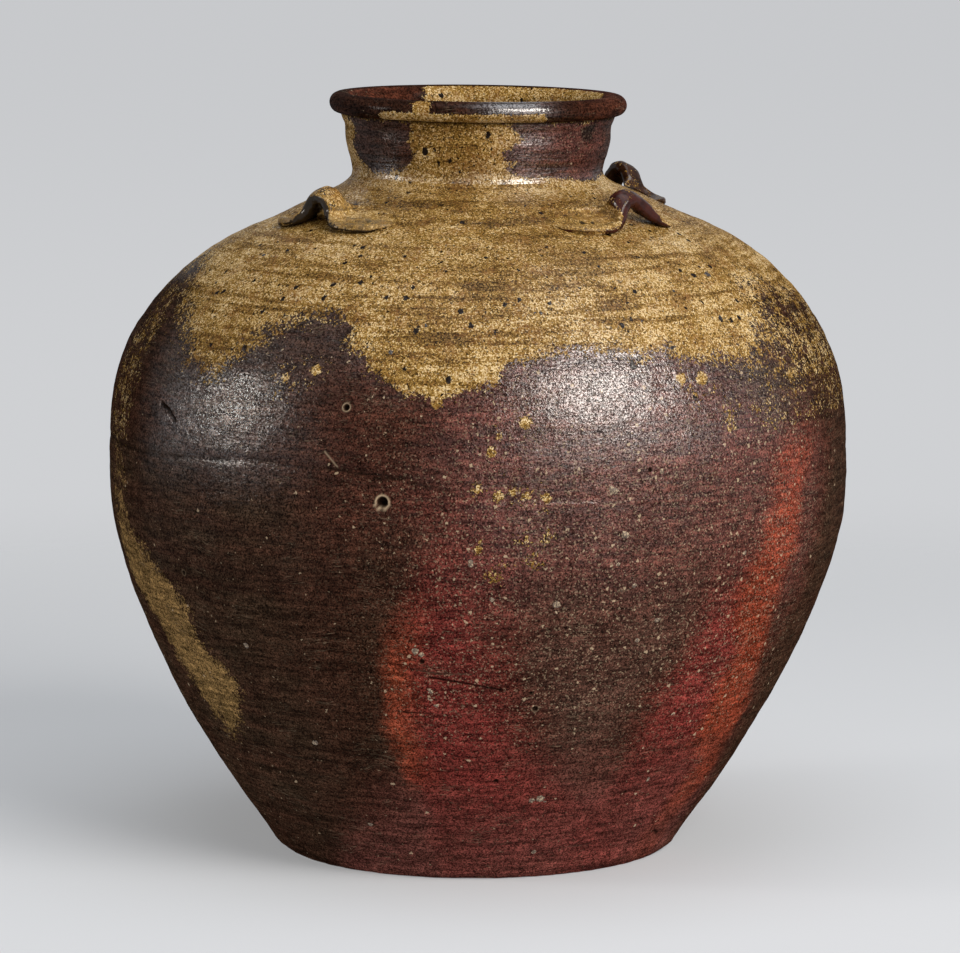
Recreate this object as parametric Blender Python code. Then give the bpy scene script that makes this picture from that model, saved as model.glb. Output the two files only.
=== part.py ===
"""A four-lugged stoneware storage jar.

The jar stands on the origin with +Z up. It is modelled as the pieces that a potter makes apart
and lutes together: a slab, two coil-built walls, a thrown collar, a rolled rim coil and four
strap lugs. Every piece keeps a hairline gap to the next one.
"""

import math

import bmesh
import bpy
from mathutils import Vector

# Outer body: heights above the floor and radii from the axis, in metres.
BODY_HEIGHT = 0.378
BELLY_HEIGHT = 0.212
FOOT_RADIUS = 0.110
BELLY_RADIUS = 0.2047
NECK_RADIUS = 0.0686
FOOT_EDGE_RADIUS = 0.003

# Collar and rim, above the narrowest point of the neck.
COLLAR_HEIGHT = 0.031
COLLAR_FLARE = 0.0070
RIM_HEIGHT = 0.011
RIM_OVERHANG = 0.0064
RIM_CREST_WIDTH = 0.003
RIM_INNER_EASE = 0.0022

# Wall thicknesses, square to the surface.
SLAB_THICKNESS = 0.012
FOOT_WALL = 0.011
SHOULDER_WALL = 0.009
COLLAR_WALL = 0.0075

# Where the pieces were luted together.
BELLY_JOIN_RISE = 0.006
COLLAR_SEAT_DEPTH = 0.003
JOINT_GAP = 0.0003

# Strap lugs, each seen from outside the jar.
LUG_NECK_DISTANCE = 0.0434
LUG_EYE_HEIGHT = 0.0108
LUG_LONG_LEG_SPREAD = 0.0210
LUG_SHORT_LEG_SPREAD = 0.0165
LUG_UPSLOPE_LEAN = 0.0105
LUG_STRAP_THICKNESS = 0.0058
LUG_STRAP_WIDTH = 0.0105
LUG_PAD_THICKNESS = 0.0042
LUG_LONG_REACH = 0.0450
LUG_SHORT_REACH = 0.0275
LUG_LONG_PAD_WIDTH = 0.0250
LUG_SHORT_PAD_WIDTH = 0.0200
LUG_LIP_HEIGHT = 0.0026
LUG_THUMB_DEPTH = 0.0012

# Lugs by name: degrees round the jar from the front, the side that the longer pad lies on, and
# the share of the usual distance that the lug stands from the neck.
LUG_DEGREES = {"lug_front": -2.7, "lug_right": 90.9, "lug_back": 171.5, "lug_left": 257.5}
LUG_LONG_SIDES = {"lug_front": 1, "lug_right": -1, "lug_back": 1, "lug_left": -1}
LUG_DISTANCE_SHARES = {"lug_front": 1.0, "lug_right": 1.0, "lug_back": 0.86, "lug_left": 0.95}

# Outline of the flank, from the foot to the belly: share of the belly's height, share of the
# way from the foot's radius to the belly's.
FLANK_SHARES = (
    (0.0, 0.0),
    (0.06, 0.088),
    (0.14, 0.216),
    (0.28, 0.418),
    (0.42, 0.598),
    (0.59, 0.777),
    (0.755, 0.914),
    (0.9, 0.987),
    (1.0, 1.0),
)

# Outline of the shoulder, from the belly to the neck: share of the height between them, share
# of the way from the neck's radius to the belly's.
SHOULDER_SHARES = (
    (0.0, 1.0),
    (0.125, 0.996),
    (0.26, 0.979),
    (0.41, 0.922),
    (0.56, 0.814),
    (0.68, 0.680),
    (0.745, 0.579),
    (0.81, 0.439),
    (0.855, 0.313),
    (0.89, 0.226),
    (0.92, 0.151),
    (0.945, 0.083),
    (0.965, 0.032),
    (0.985, 0.006),
    (1.0, 0.0),
)

# Outline of the collar, from the narrowest point of the neck to the rim: share of the collar's
# height, share of its flare.
COLLAR_SHARES = (
    (0.0, 0.0),
    (0.08, 0.06),
    (0.17, 0.20),
    (0.31, 0.40),
    (0.45, 0.54),
    (0.63, 0.615),
    (0.79, 0.66),
    (0.89, 0.85),
    (1.0, 1.0),
)

# Width of a lug from its crown to its tip: share of the reach, share of the way from the
# strap's width to the pad's.
PAD_WIDTH_SHARES = (
    (0.0, 0.0),
    (0.2, 0.08),
    (0.42, 0.66),
    (0.62, 1.0),
    (0.8, 0.93),
    (1.0, 0.6),
)
PAD_ROUNDING_SHARE = 0.72
LUG_TIP_SHARE = 0.985
TIP_THINNING_SHARE = 0.45

# Fineness of the curved surfaces.
ROUND_STEPS = 64
FLANK_RINGS = 9
SHOULDER_RINGS = 16
COLLAR_RINGS = 7
RIM_ARC_RINGS = 8
FOOT_EDGE_STEPS = 3
OUTLINE_SAMPLES = 400
LUG_HALF_STATIONS = 11
LUG_SECTION_STEPS = 14
SHARP_ANGLE = math.radians(40)
MERGE_DISTANCE = 0.00001

BELLY_JOIN_HEIGHT = BELLY_HEIGHT + BELLY_JOIN_RISE
COLLAR_JOIN_HEIGHT = BODY_HEIGHT - COLLAR_SEAT_DEPTH
RIM_JOIN_HEIGHT = BODY_HEIGHT + COLLAR_HEIGHT
JAR_HEIGHT = RIM_JOIN_HEIGHT + RIM_HEIGHT
COLLAR_TOP_RADIUS = NECK_RADIUS + COLLAR_FLARE
RIM_RADIUS = COLLAR_TOP_RADIUS + RIM_OVERHANG


def clear_scene():
    """Remove every object, so that the jar is built in an empty scene."""
    for item in list(bpy.data.objects):
        bpy.data.objects.remove(item, do_unlink=True)


def fired_clay(name, colour, roughness):
    """A plain material for one piece, with the piece's own colour."""
    material = bpy.data.materials.new(name)
    material.use_nodes = True
    shader = material.node_tree.nodes["Principled BSDF"]
    shader.inputs["Base Color"].default_value = (*colour, 1.0)
    shader.inputs["Roughness"].default_value = roughness
    shader.inputs["Metallic"].default_value = 0.0
    return material


def add_object(name, bm, material):
    """Turn a finished bmesh into a named, smoothly shaded object."""
    mesh = bpy.data.meshes.new(name)
    bm.to_mesh(mesh)
    bm.free()
    mesh.materials.append(material)
    mesh.shade_smooth()
    mesh.set_sharp_from_angle(angle=SHARP_ANGLE)
    piece = bpy.data.objects.new(name, mesh)
    bpy.context.scene.collection.objects.link(piece)
    return piece


def end_slopes(places, values):
    """Slopes of a smooth curve through the points that never overshoots between them."""
    steps = [b - a for a, b in zip(places, places[1:])]
    grades = [(b - a) / step for a, b, step in zip(values, values[1:], steps)]
    slopes = [grades[0]]
    for before, after in zip(grades, grades[1:]):
        turning = before * after <= 0
        slopes.append(0.0 if turning else 2 * before * after / (before + after))
    slopes.append(grades[-1])
    return slopes


def on_curve(shares, place):
    """Read a smooth curve through hand-chosen shares at one place along it."""
    places = [share[0] for share in shares]
    values = [share[1] for share in shares]
    slopes = end_slopes(places, values)
    place = min(max(place, places[0]), places[-1])
    index = 0
    while index < len(places) - 2 and place > places[index + 1]:
        index += 1
    step = places[index + 1] - places[index]
    t = (place - places[index]) / step
    rise = values[index + 1] - values[index]
    start = values[index] + t * t * (3 - 2 * t) * rise
    lean = t * (1 - t) * ((1 - t) * slopes[index] - t * slopes[index + 1])
    return start + lean * step


def outer_radius(height):
    """Radius of the jar's outer surface at a height, from the foot to the top of the collar."""
    if height <= BELLY_HEIGHT:
        share = on_curve(FLANK_SHARES, height / BELLY_HEIGHT)
        return FOOT_RADIUS + (BELLY_RADIUS - FOOT_RADIUS) * share
    if height <= BODY_HEIGHT:
        climb = (height - BELLY_HEIGHT) / (BODY_HEIGHT - BELLY_HEIGHT)
        return NECK_RADIUS + (BELLY_RADIUS - NECK_RADIUS) * on_curve(SHOULDER_SHARES, climb)
    climb = (height - BODY_HEIGHT) / COLLAR_HEIGHT
    return NECK_RADIUS + COLLAR_FLARE * on_curve(COLLAR_SHARES, climb)


def outer_slope(height):
    """How fast the outer radius grows with height."""
    reach = BODY_HEIGHT / OUTLINE_SAMPLES
    low = max(height - reach, 0.0)
    high = min(height + reach, RIM_JOIN_HEIGHT)
    return (outer_radius(high) - outer_radius(low)) / (high - low)


def wall_thickness(height):
    """The wall thins from the foot to the shoulder and again up the collar."""
    if height <= COLLAR_JOIN_HEIGHT:
        return FOOT_WALL + (SHOULDER_WALL - FOOT_WALL) * height / COLLAR_JOIN_HEIGHT
    climb = min((height - COLLAR_JOIN_HEIGHT) / COLLAR_SEAT_DEPTH, 1.0)
    return SHOULDER_WALL + (COLLAR_WALL - SHOULDER_WALL) * climb


def inner_radius(height):
    """Radius of the hollow at a height, the wall's thickness being square to the surface."""
    return outer_radius(height) - wall_thickness(height) * math.hypot(1.0, outer_slope(height))


def ring_heights(low, high, count):
    """Heights from low to high that lie evenly along the outer outline."""
    samples = [low + (high - low) * i / OUTLINE_SAMPLES for i in range(OUTLINE_SAMPLES + 1)]
    lengths = [0.0]
    for below, above in zip(samples, samples[1:]):
        run = math.hypot(above - below, outer_radius(above) - outer_radius(below))
        lengths.append(lengths[-1] + run)
    heights = []
    index = 0
    for ring in range(count):
        wanted = lengths[-1] * ring / (count - 1)
        while index < OUTLINE_SAMPLES - 1 and lengths[index + 1] < wanted:
            index += 1
        part = (wanted - lengths[index]) / (lengths[index + 1] - lengths[index])
        heights.append(samples[index] + (samples[index + 1] - samples[index]) * part)
    return heights


def turn(outline, closed=True):
    """Spin an outline of (radius, height) points once round the jar's axis."""
    bm = bmesh.new()
    corners = [bm.verts.new((radius, 0.0, height)) for radius, height in outline]
    pairs = list(zip(corners, corners[1:]))
    if closed:
        pairs.append((corners[-1], corners[0]))
    edges = [bm.edges.new(pair) for pair in pairs]
    bmesh.ops.spin(
        bm,
        geom=corners + edges,
        cent=(0.0, 0.0, 0.0),
        axis=(0.0, 0.0, 1.0),
        angle=math.tau,
        steps=ROUND_STEPS,
        use_merge=True,
    )
    bmesh.ops.remove_doubles(bm, verts=bm.verts, dist=MERGE_DISTANCE)
    bmesh.ops.recalc_face_normals(bm, faces=bm.faces)
    return bm


def wall_outline(low, high, rings):
    """Closed outline of a wall between two heights: up the outside and down the inside."""
    heights = ring_heights(low, high, rings)
    outside = [(outer_radius(height), height) for height in heights]
    inside = [(inner_radius(height), height) for height in reversed(heights)]
    return outside + inside


def make_base_disc():
    """The slab underneath, with its lower edge rubbed round."""
    outline = [
        (0.0, 0.0),
        (FOOT_RADIUS, 0.0),
        (outer_radius(SLAB_THICKNESS), SLAB_THICKNESS),
        (0.0, SLAB_THICKNESS),
    ]
    bm = turn(outline, closed=False)
    foot_edge = [
        edge
        for edge in bm.edges
        if all(
            vert.co.z < MERGE_DISTANCE and vert.co.xy.length > FOOT_RADIUS - FOOT_EDGE_RADIUS
            for vert in edge.verts
        )
    ]
    bmesh.ops.bevel(
        bm,
        geom=foot_edge,
        offset=FOOT_EDGE_RADIUS,
        affect="EDGES",
        segments=FOOT_EDGE_STEPS,
        profile=0.5,
        material=-1,
    )
    bmesh.ops.recalc_face_normals(bm, faces=bm.faces)
    return add_object("base_disc", bm, fired_clay("base_disc", (0.085, 0.036, 0.027), 0.62))


def make_lower_wall():
    """The coil-built wall that stands on the slab and swells to the belly."""
    low = SLAB_THICKNESS + JOINT_GAP
    bm = turn(wall_outline(low, BELLY_JOIN_HEIGHT, FLANK_RINGS))
    return add_object("lower_wall", bm, fired_clay("lower_wall", (0.095, 0.032, 0.026), 0.5))


def make_shoulder_wall():
    """The upper wall, from the join at the belly over the shoulder to the collar's foot."""
    low = BELLY_JOIN_HEIGHT + JOINT_GAP
    bm = turn(wall_outline(low, COLLAR_JOIN_HEIGHT, SHOULDER_RINGS))
    return add_object(
        "shoulder_wall", bm, fired_clay("shoulder_wall", (0.245, 0.165, 0.062), 0.42)
    )


def make_neck_collar():
    """The short neck, which flares slightly towards the mouth."""
    low = COLLAR_JOIN_HEIGHT + JOINT_GAP
    bm = turn(wall_outline(low, RIM_JOIN_HEIGHT, COLLAR_RINGS))
    return add_object("neck_collar", bm, fired_clay("neck_collar", (0.12, 0.055, 0.038), 0.42))


def make_mouth_rim():
    """The rolled coil at the mouth: round outside, flat on its crest and eased inside."""
    low = RIM_JOIN_HEIGHT + JOINT_GAP
    roll = (JAR_HEIGHT - low) / 2
    roll_centre = RIM_RADIUS - roll
    mouth_radius = inner_radius(RIM_JOIN_HEIGHT)
    outline = [(mouth_radius, low)]
    for ring in range(RIM_ARC_RINGS + 1):
        angle = math.pi * (ring / RIM_ARC_RINGS - 0.5)
        across = roll_centre + roll * math.cos(angle)
        outline.append((across, low + roll + roll * math.sin(angle)))
    crest_edge = roll_centre - RIM_CREST_WIDTH
    outline.append((crest_edge, JAR_HEIGHT))
    outline.append(((crest_edge + mouth_radius) / 2, JAR_HEIGHT - RIM_INNER_EASE))
    outline.append((mouth_radius, JAR_HEIGHT - roll))
    bm = turn(outline)
    return add_object("mouth_rim", bm, fired_clay("mouth_rim", (0.10, 0.036, 0.026), 0.36))


def shoulder_path():
    """Points down the shoulder's outline from the neck, each with its distance and direction."""
    top = COLLAR_JOIN_HEIGHT
    heights = [top + (BELLY_HEIGHT - top) * i / OUTLINE_SAMPLES for i in range(OUTLINE_SAMPLES)]
    points = [Vector((outer_radius(height), height)) for height in heights]
    path = []
    distance = 0.0
    for here, below in zip(points, points[1:]):
        path.append((distance, here, (below - here).normalized()))
        distance += (below - here).length
    return path


def on_shoulder(path, distance):
    """The outline's point at a distance down the shoulder, and the outward normal there."""
    index = 0
    while index < len(path) - 2 and path[index + 1][0] < distance:
        index += 1
    start, point, along = path[index]
    normal = Vector((-along.y, along.x))
    return point + along * (distance - start), normal


def lug_width(share, pad_width):
    """Width of the strap at a share of its reach: narrow at the crown, a leaf at the pad."""
    growth = on_curve(PAD_WIDTH_SHARES, share)
    width = LUG_STRAP_WIDTH + (pad_width - LUG_STRAP_WIDTH) * growth
    if share > PAD_ROUNDING_SHARE:
        past = (share - PAD_ROUNDING_SHARE) / (1 - PAD_ROUNDING_SHARE)
        width *= math.sqrt(1 - past * past)
    return width


def lug_thickness(share):
    """Thickness of the strap: full at the crown, pressed thin at the pad and thinner at the tip."""
    pressed = on_curve(PAD_WIDTH_SHARES, share)
    thickness = LUG_STRAP_THICKNESS + (LUG_PAD_THICKNESS - LUG_STRAP_THICKNESS) * pressed
    if share > PAD_ROUNDING_SHARE:
        past = (share - PAD_ROUNDING_SHARE) / (1 - PAD_ROUNDING_SHARE)
        thickness *= 1 - TIP_THINNING_SHARE * past * past
    return thickness


def arch_share(along, spread):
    """How far the strap has risen towards its crown, at a distance from the crown."""
    if abs(along) >= spread:
        return 0.0
    return math.cos(math.pi / 2 * along / spread) ** 2


def strap_bottom(along, spread):
    """Height of the strap's underside above the shoulder at a distance from the crown."""
    return JOINT_GAP + (LUG_EYE_HEIGHT - JOINT_GAP) * arch_share(along, spread)


def lug_section(share, side):
    """One closed section of the strap as (along, down the slope, above the shoulder) points."""
    reach = LUG_LONG_REACH if side > 0 else LUG_SHORT_REACH
    spread = LUG_LONG_LEG_SPREAD if side > 0 else LUG_SHORT_LEG_SPREAD
    pad_width = LUG_LONG_PAD_WIDTH if side > 0 else LUG_SHORT_PAD_WIDTH
    along = share * reach
    width = lug_width(share, pad_width)
    thickness = lug_thickness(share)
    bottom = strap_bottom(along, spread)
    step = spread / OUTLINE_SAMPLES
    rise = strap_bottom(along + step, spread) - strap_bottom(along - step, spread)
    lean = math.atan(rise / (2 * step))
    pressed = on_curve(PAD_WIDTH_SHARES, share)
    points = []
    for corner in range(LUG_SECTION_STEPS):
        angle = math.tau * corner / LUG_SECTION_STEPS
        across = math.cos(angle)
        over = math.sin(angle)
        lift = thickness * (0.5 + math.copysign(abs(over) ** 0.5, over) / 2)
        if over > 0:
            lip = ((1 + across) / 2) ** 3
            dish = (1 - across * across) * pressed
            lift += over * (LUG_LIP_HEIGHT * lip - LUG_THUMB_DEPTH * dish)
        points.append(
            (
                side * (along - lift * math.sin(lean)),
                width / 2 * across - LUG_UPSLOPE_LEAN * arch_share(along, spread),
                bottom + lift * math.cos(lean),
            )
        )
    return points


def make_lug(name, azimuth, long_side, ring_radius, path):
    """A strap lug that follows the shoulder under its pads and arches up between them."""
    seat_distance = next(distance for distance, point, along in path if point.x >= ring_radius)
    shares = [LUG_TIP_SHARE * i / LUG_HALF_STATIONS for i in range(LUG_HALF_STATIONS + 1)]
    sections = [lug_section(share, -1) for share in reversed(shares[1:])]
    sections += [lug_section(share, 1) for share in shares]
    bm = bmesh.new()
    loops = []
    for section in sections:
        ring = bmesh.ops.create_circle(bm, segments=LUG_SECTION_STEPS, radius=LUG_STRAP_WIDTH)
        for vert, (along, down, above) in zip(ring["verts"], section):
            point, normal = on_shoulder(path, seat_distance + down)
            place = point + normal * above
            turned = long_side * along / ring_radius
            vert.co = (place.x * math.sin(turned), -place.x * math.cos(turned), place.y)
        loops.append(list(dict.fromkeys(edge for vert in ring["verts"] for edge in vert.link_edges)))
    for loop, following in zip(loops, loops[1:]):
        bmesh.ops.bridge_loops(bm, edges=loop + following)
    bmesh.ops.holes_fill(bm, edges=loops[0] + loops[-1], sides=0)
    bmesh.ops.recalc_face_normals(bm, faces=bm.faces)
    lug = add_object(name, bm, fired_clay(name, (0.19, 0.125, 0.05), 0.3))
    lug.rotation_euler.z = math.radians(azimuth)
    return lug


def make_lugs():
    """The four lugs, seated round the top of the shoulder."""
    path = shoulder_path()
    for name, azimuth in LUG_DEGREES.items():
        ring_radius = NECK_RADIUS + LUG_NECK_DISTANCE * LUG_DISTANCE_SHARES[name]
        make_lug(name, azimuth, LUG_LONG_SIDES[name], ring_radius, path)


def main():
    clear_scene()
    make_base_disc()
    make_lower_wall()
    make_shoulder_wall()
    make_neck_collar()
    make_mouth_rim()
    make_lugs()


main()
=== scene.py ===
"""Looks of a lugged stoneware storage jar with a runny ash glaze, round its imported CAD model.

Places on the jar are given as degrees from its face, the side midway between lug_front and
lug_right (positive towards lug_right), and as heights above the floor in metres.
"""

import math

import bmesh
import bpy
import numpy as np
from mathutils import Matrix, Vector


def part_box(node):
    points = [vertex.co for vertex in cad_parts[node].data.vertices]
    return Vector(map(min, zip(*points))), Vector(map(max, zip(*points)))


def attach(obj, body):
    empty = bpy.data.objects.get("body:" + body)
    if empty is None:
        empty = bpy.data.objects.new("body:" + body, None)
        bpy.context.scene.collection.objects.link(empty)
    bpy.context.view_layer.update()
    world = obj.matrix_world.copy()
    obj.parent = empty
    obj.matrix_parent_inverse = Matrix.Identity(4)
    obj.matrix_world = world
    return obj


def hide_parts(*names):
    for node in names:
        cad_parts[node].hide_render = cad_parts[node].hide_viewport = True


bl_info = {
    "name": "Lugged Stoneware Jar",
    "version": (1, 0, 0),
    "blender": (4, 5, 0),
    "location": "View3D > Sidebar > Jar",
    "description": "Builds the surface, glaze and stage of a lugged storage jar",
    "category": "Add Mesh",
}

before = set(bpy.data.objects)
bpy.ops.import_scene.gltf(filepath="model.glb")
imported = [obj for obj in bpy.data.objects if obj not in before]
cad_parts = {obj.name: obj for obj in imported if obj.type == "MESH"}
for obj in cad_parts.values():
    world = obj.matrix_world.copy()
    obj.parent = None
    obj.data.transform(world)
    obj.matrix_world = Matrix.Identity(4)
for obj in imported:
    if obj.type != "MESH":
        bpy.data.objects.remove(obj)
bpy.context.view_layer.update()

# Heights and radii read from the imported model.
SLAB_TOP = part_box("base_disc")[1][2]
BELLY_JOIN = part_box("lower_wall")[1][2]
COLLAR_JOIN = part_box("shoulder_wall")[1][2]
RIM_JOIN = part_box("neck_collar")[1][2]
JAR_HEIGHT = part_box("mouth_rim")[1][2]
BELLY_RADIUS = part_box("lower_wall")[1][0]
RIM_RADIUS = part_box("mouth_rim")[1][0]

FACE_DEGREES = 45.0

# Outline of the flank, from the foot to the belly: share of the belly's height, share of the
# way from the foot's radius to the belly's.
FLANK_SHARES = (
    (0.0, 0.0), (0.06, 0.088), (0.14, 0.216), (0.28, 0.418), (0.42, 0.598), (0.59, 0.777),
    (0.755, 0.914), (0.9, 0.987), (1.0, 1.0),
)

# Outline of the shoulder, from the belly to the neck: share of the height between them, share
# of the way from the neck's radius to the belly's.
SHOULDER_SHARES = (
    (0.0, 1.0), (0.125, 0.996), (0.26, 0.979), (0.41, 0.922), (0.56, 0.814), (0.68, 0.68),
    (0.745, 0.579), (0.81, 0.439), (0.855, 0.313), (0.89, 0.226), (0.92, 0.151), (0.945, 0.083),
    (0.965, 0.032), (0.985, 0.006), (1.0, 0.0),
)

# Outline of the collar, from the narrowest point of the neck to the rim: share of the collar's
# height, share of its flare.
COLLAR_SHARES = (
    (0.0, 0.0), (0.08, 0.06), (0.17, 0.2), (0.31, 0.4), (0.45, 0.54), (0.63, 0.615), (0.79, 0.66),
    (0.89, 0.85), (1.0, 1.0),
)

# Lower edge of the ash glaze, once round the jar: degrees from the face, height.
GLAZE_EDGE = (
    (-180, 0.258), (-172, 0.262), (-163, 0.284), (-150, 0.292), (-138, 0.287), (-129, 0.268),
    (-122, 0.243), (-117, 0.232), (-112, 0.24), (-106, 0.262), (-97, 0.288), (-88, 0.322),
    (-79, 0.334), (-72, 0.328), (-66, 0.316), (-60, 0.302), (-56, 0.294), (-51, 0.284), (-47, 0.279),
    (-44, 0.283), (-41, 0.292), (-37, 0.299), (-35, 0.309), (-30, 0.311), (-26, 0.312), (-22, 0.309),
    (-21, 0.297), (-18, 0.293), (-17, 0.286), (-14, 0.28), (-11, 0.275), (-7, 0.273), (-6, 0.269),
    (-5, 0.274), (-1, 0.277), (2, 0.28), (5, 0.289), (8, 0.293), (13, 0.296), (20, 0.295), (27, 0.292),
    (33, 0.292), (38, 0.289), (45, 0.288), (52, 0.288), (56, 0.298), (61, 0.312), (66, 0.316),
    (74, 0.312), (82, 0.306), (92, 0.298), (101, 0.283), (112, 0.262), (118, 0.247), (123, 0.24),
    (128, 0.251), (136, 0.279), (148, 0.289), (160, 0.283), (171, 0.266), (180, 0.258),
)

# Width over which the glaze frays into specks: degrees from the face, width in metres.
GLAZE_FRAY = (
    (-180, 0.008), (-120, 0.01), (-80, 0.022), (-62, 0.016), (-50, 0.012), (-30, 0.012), (-22, 0.006),
    (-15, 0.0035), (0, 0.004), (15, 0.006), (30, 0.007), (42, 0.01), (52, 0.022), (62, 0.03),
    (75, 0.026), (90, 0.012), (130, 0.006), (180, 0.008),
)

# Bare panels of the neck that the glaze missed, as outlines of degrees and heights.
BARE_PANELS = (
    ((-69, 0.415), (-67, 0.4), (-70, 0.392), (-66, 0.384), (-56, 0.38), (-46, 0.379),
     (-38, 0.3805), (-31, 0.384), (-28, 0.391), (-32, 0.398), (-28, 0.405), (-33, 0.415)),
    ((10, 0.415), (15, 0.405), (19, 0.4), (16, 0.396), (12, 0.393), (11, 0.389), (16, 0.386),
     (13, 0.3835), (16, 0.38), (24, 0.3785), (34, 0.3775), (44, 0.3765), (54, 0.375),
     (66, 0.3745), (80, 0.3765), (96, 0.3785), (108, 0.384), (112, 0.392), (106, 0.402),
     (110, 0.415)),
    ((150, 0.415), (154, 0.4), (150, 0.391), (156, 0.383), (166, 0.38), (174, 0.385),
     (172, 0.396), (176, 0.415)),
)

# Flashes and stains of the fire on the bare clay. Each lies between a left and a right side.
# Colour name, left side as heights and degrees, its softness in degrees, right side, its
# softness, and strength by height.
FLASHES = (
    ("olive", ((0.0, -160), (0.3, -160)), 30, ((0.0, -30), (0.1, -26), (0.2, -24), (0.3, -30)), 22,
     ((0.0, 0.5), (0.05, 0.8), (0.22, 0.75), (0.26, 0.4))),
    ("umber_clay", ((0.0, -30), (0.2, -20)), 12, ((0.0, -12), (0.11, -17), (0.17, -12), (0.2, -8)), 5,
     ((0.04, 0.0), (0.08, 0.8), (0.18, 0.7), (0.21, 0.0))),
    ("purple", ((0.1, -2), (0.3, -6)), 14, ((0.1, 60), (0.3, 66)), 16,
     ((0.12, 0.0), (0.17, 0.55), (0.24, 0.7), (0.3, 0.4))),
    ("mud", ((0.06, 20), (0.1, 12), (0.17, 6)), 12, ((0.06, 24), (0.12, 31), (0.17, 38)), 10,
     ((0.045, 0.0), (0.08, 0.7), (0.15, 0.75), (0.185, 0.2))),
    ("plum", ((0.0, -40), (0.06, -14)), 22, ((0.0, 75), (0.06, 60)), 20,
     ((0.0, 0.95), (0.035, 0.8), (0.065, 0.35), (0.09, 0.0))),
    ("crimson",
     ((0.006, -9), (0.038, -10), (0.063, -12.5), (0.086, -14.5), (0.11, -15.5), (0.133, -13.5),
      (0.156, -11.5), (0.179, -8.5), (0.197, -7), (0.22, -12)), 4,
     ((0.0, 48), (0.023, 38), (0.047, 23), (0.062, 14), (0.08, 9), (0.111, 5), (0.146, 2), (0.168, 2),
      (0.2, 3)), 16,
     ((0.0, 0.2), (0.035, 0.5), (0.065, 0.85), (0.11, 1.0), (0.15, 0.95),
      (0.17, 0.7), (0.19, 0.35), (0.24, 0.0))),
    ("ember",
     ((0.063, -13.5), (0.086, -15.5), (0.11, -16.5), (0.133, -14.5), (0.156, -12.5)), 4,
     ((0.06, -8), (0.09, -11), (0.12, -11), (0.156, -9)), 6,
     ((0.05, 0.0), (0.075, 0.55), (0.13, 0.7), (0.155, 0.2), (0.17, 0.0))),
    ("crimson",
     ((0.02, 24), (0.055, 31), (0.078, 33), (0.103, 32), (0.125, 36), (0.148, 37), (0.175, 42)), 8,
     ((0.02, 52), (0.055, 54), (0.078, 49), (0.125, 50), (0.148, 48), (0.175, 50)), 9,
     ((0.02, 0.3), (0.055, 0.5), (0.08, 0.85), (0.125, 0.9), (0.15, 0.7), (0.17, 0.3), (0.19, 0.0))),
    ("flash",
     ((0.02, 50), (0.055, 53), (0.078, 47), (0.103, 47), (0.125, 48), (0.148, 45), (0.162, 44),
      (0.188, 48), (0.208, 50), (0.242, 52), (0.27, 56)), 7,
     ((0.02, 60), (0.055, 62), (0.103, 59), (0.125, 58), (0.148, 55), (0.162, 55), (0.188, 58),
      (0.208, 59), (0.242, 62), (0.27, 65)), 5,
     ((0.02, 0.3), (0.055, 0.75), (0.09, 0.95), (0.2, 1.0), (0.228, 0.8), (0.248, 0.3), (0.266, 0.0))),
    ("olive", ((0.04, 66), (0.12, 63), (0.2, 66), (0.26, 70)), 8, ((0.0, 100), (0.26, 96)), 16,
     ((0.02, 0.3), (0.08, 0.6), (0.22, 0.75), (0.27, 0.2))),
    ("umber_clay", ((0.235, 54), (0.265, 42), (0.33, 38)), 12, ((0.24, 96), (0.33, 100)), 12,
     ((0.232, 0.0), (0.255, 0.8), (0.33, 0.9), (0.36, 0.0))),
    ("umber_clay", ((0.26, -90), (0.33, -96)), 12, ((0.26, -20), (0.33, -20)), 8,
     ((0.255, 0.0), (0.285, 0.7), (0.33, 0.9), (0.36, 0.0))),
    ("iron", ((0.3945, 50), (0.4045, 50)), 2.5, ((0.3945, 58), (0.4045, 58)), 2.5,
     ((0.394, 0.0), (0.3955, 0.95), (0.4035, 0.95), (0.405, 0.0))),
    ("crimson", ((0.0, 118), (0.1, 109), (0.2, 114)), 5, ((0.0, 140), (0.1, 126), (0.2, 124)), 12,
     ((0.0, 0.7), (0.1, 0.9), (0.17, 0.8), (0.22, 0.0))),
    ("flash", ((0.0, 155), (0.25, 150)), 12, ((0.0, 176), (0.25, 163)), 5,
     ((0.0, 0.5), (0.1, 0.7), (0.18, 0.6), (0.24, 0.0))),
    ("crimson", ((0.0, -165), (0.2, -158)), 8, ((0.0, -138), (0.2, -146)), 10,
     ((0.0, 0.8), (0.12, 0.8), (0.19, 0.0))),
)

# Thin matt ash that settled on the left of the flank, in the same form.
THIN_ASH = (
    (((0.072, -60), (0.095, -61), (0.117, -65), (0.139, -68), (0.153, -72), (0.168, -78), (0.26, -84)), 11,
     ((0.071, -53), (0.088, -49), (0.112, -47), (0.133, -51), (0.16, -55), (0.174, -59), (0.19, -66),
      (0.26, -70)), 12,
     ((0.06, 0.0), (0.075, 0.7), (0.1, 1.0), (0.17, 0.95), (0.2, 0.62), (0.25, 0.5), (0.28, 0.3))),
    (((0.1, -110), (0.28, -120)), 14, ((0.1, -92), (0.28, -84)), 12,
     ((0.08, 0.0), (0.12, 0.6), (0.22, 0.7), (0.29, 0.5))),
)

# Groove where the lower wall and the shoulder were luted together.
BELLY_SEAM = (
    (-180, 0.226), (-140, 0.229), (-100, 0.23), (-75, 0.231), (-53, 0.233), (-36, 0.237), (-24, 0.236),
    (-11, 0.231), (0, 0.222), (20, 0.22), (35, 0.221), (50, 0.223), (75, 0.225), (110, 0.223),
    (150, 0.224), (180, 0.226),
)

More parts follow.
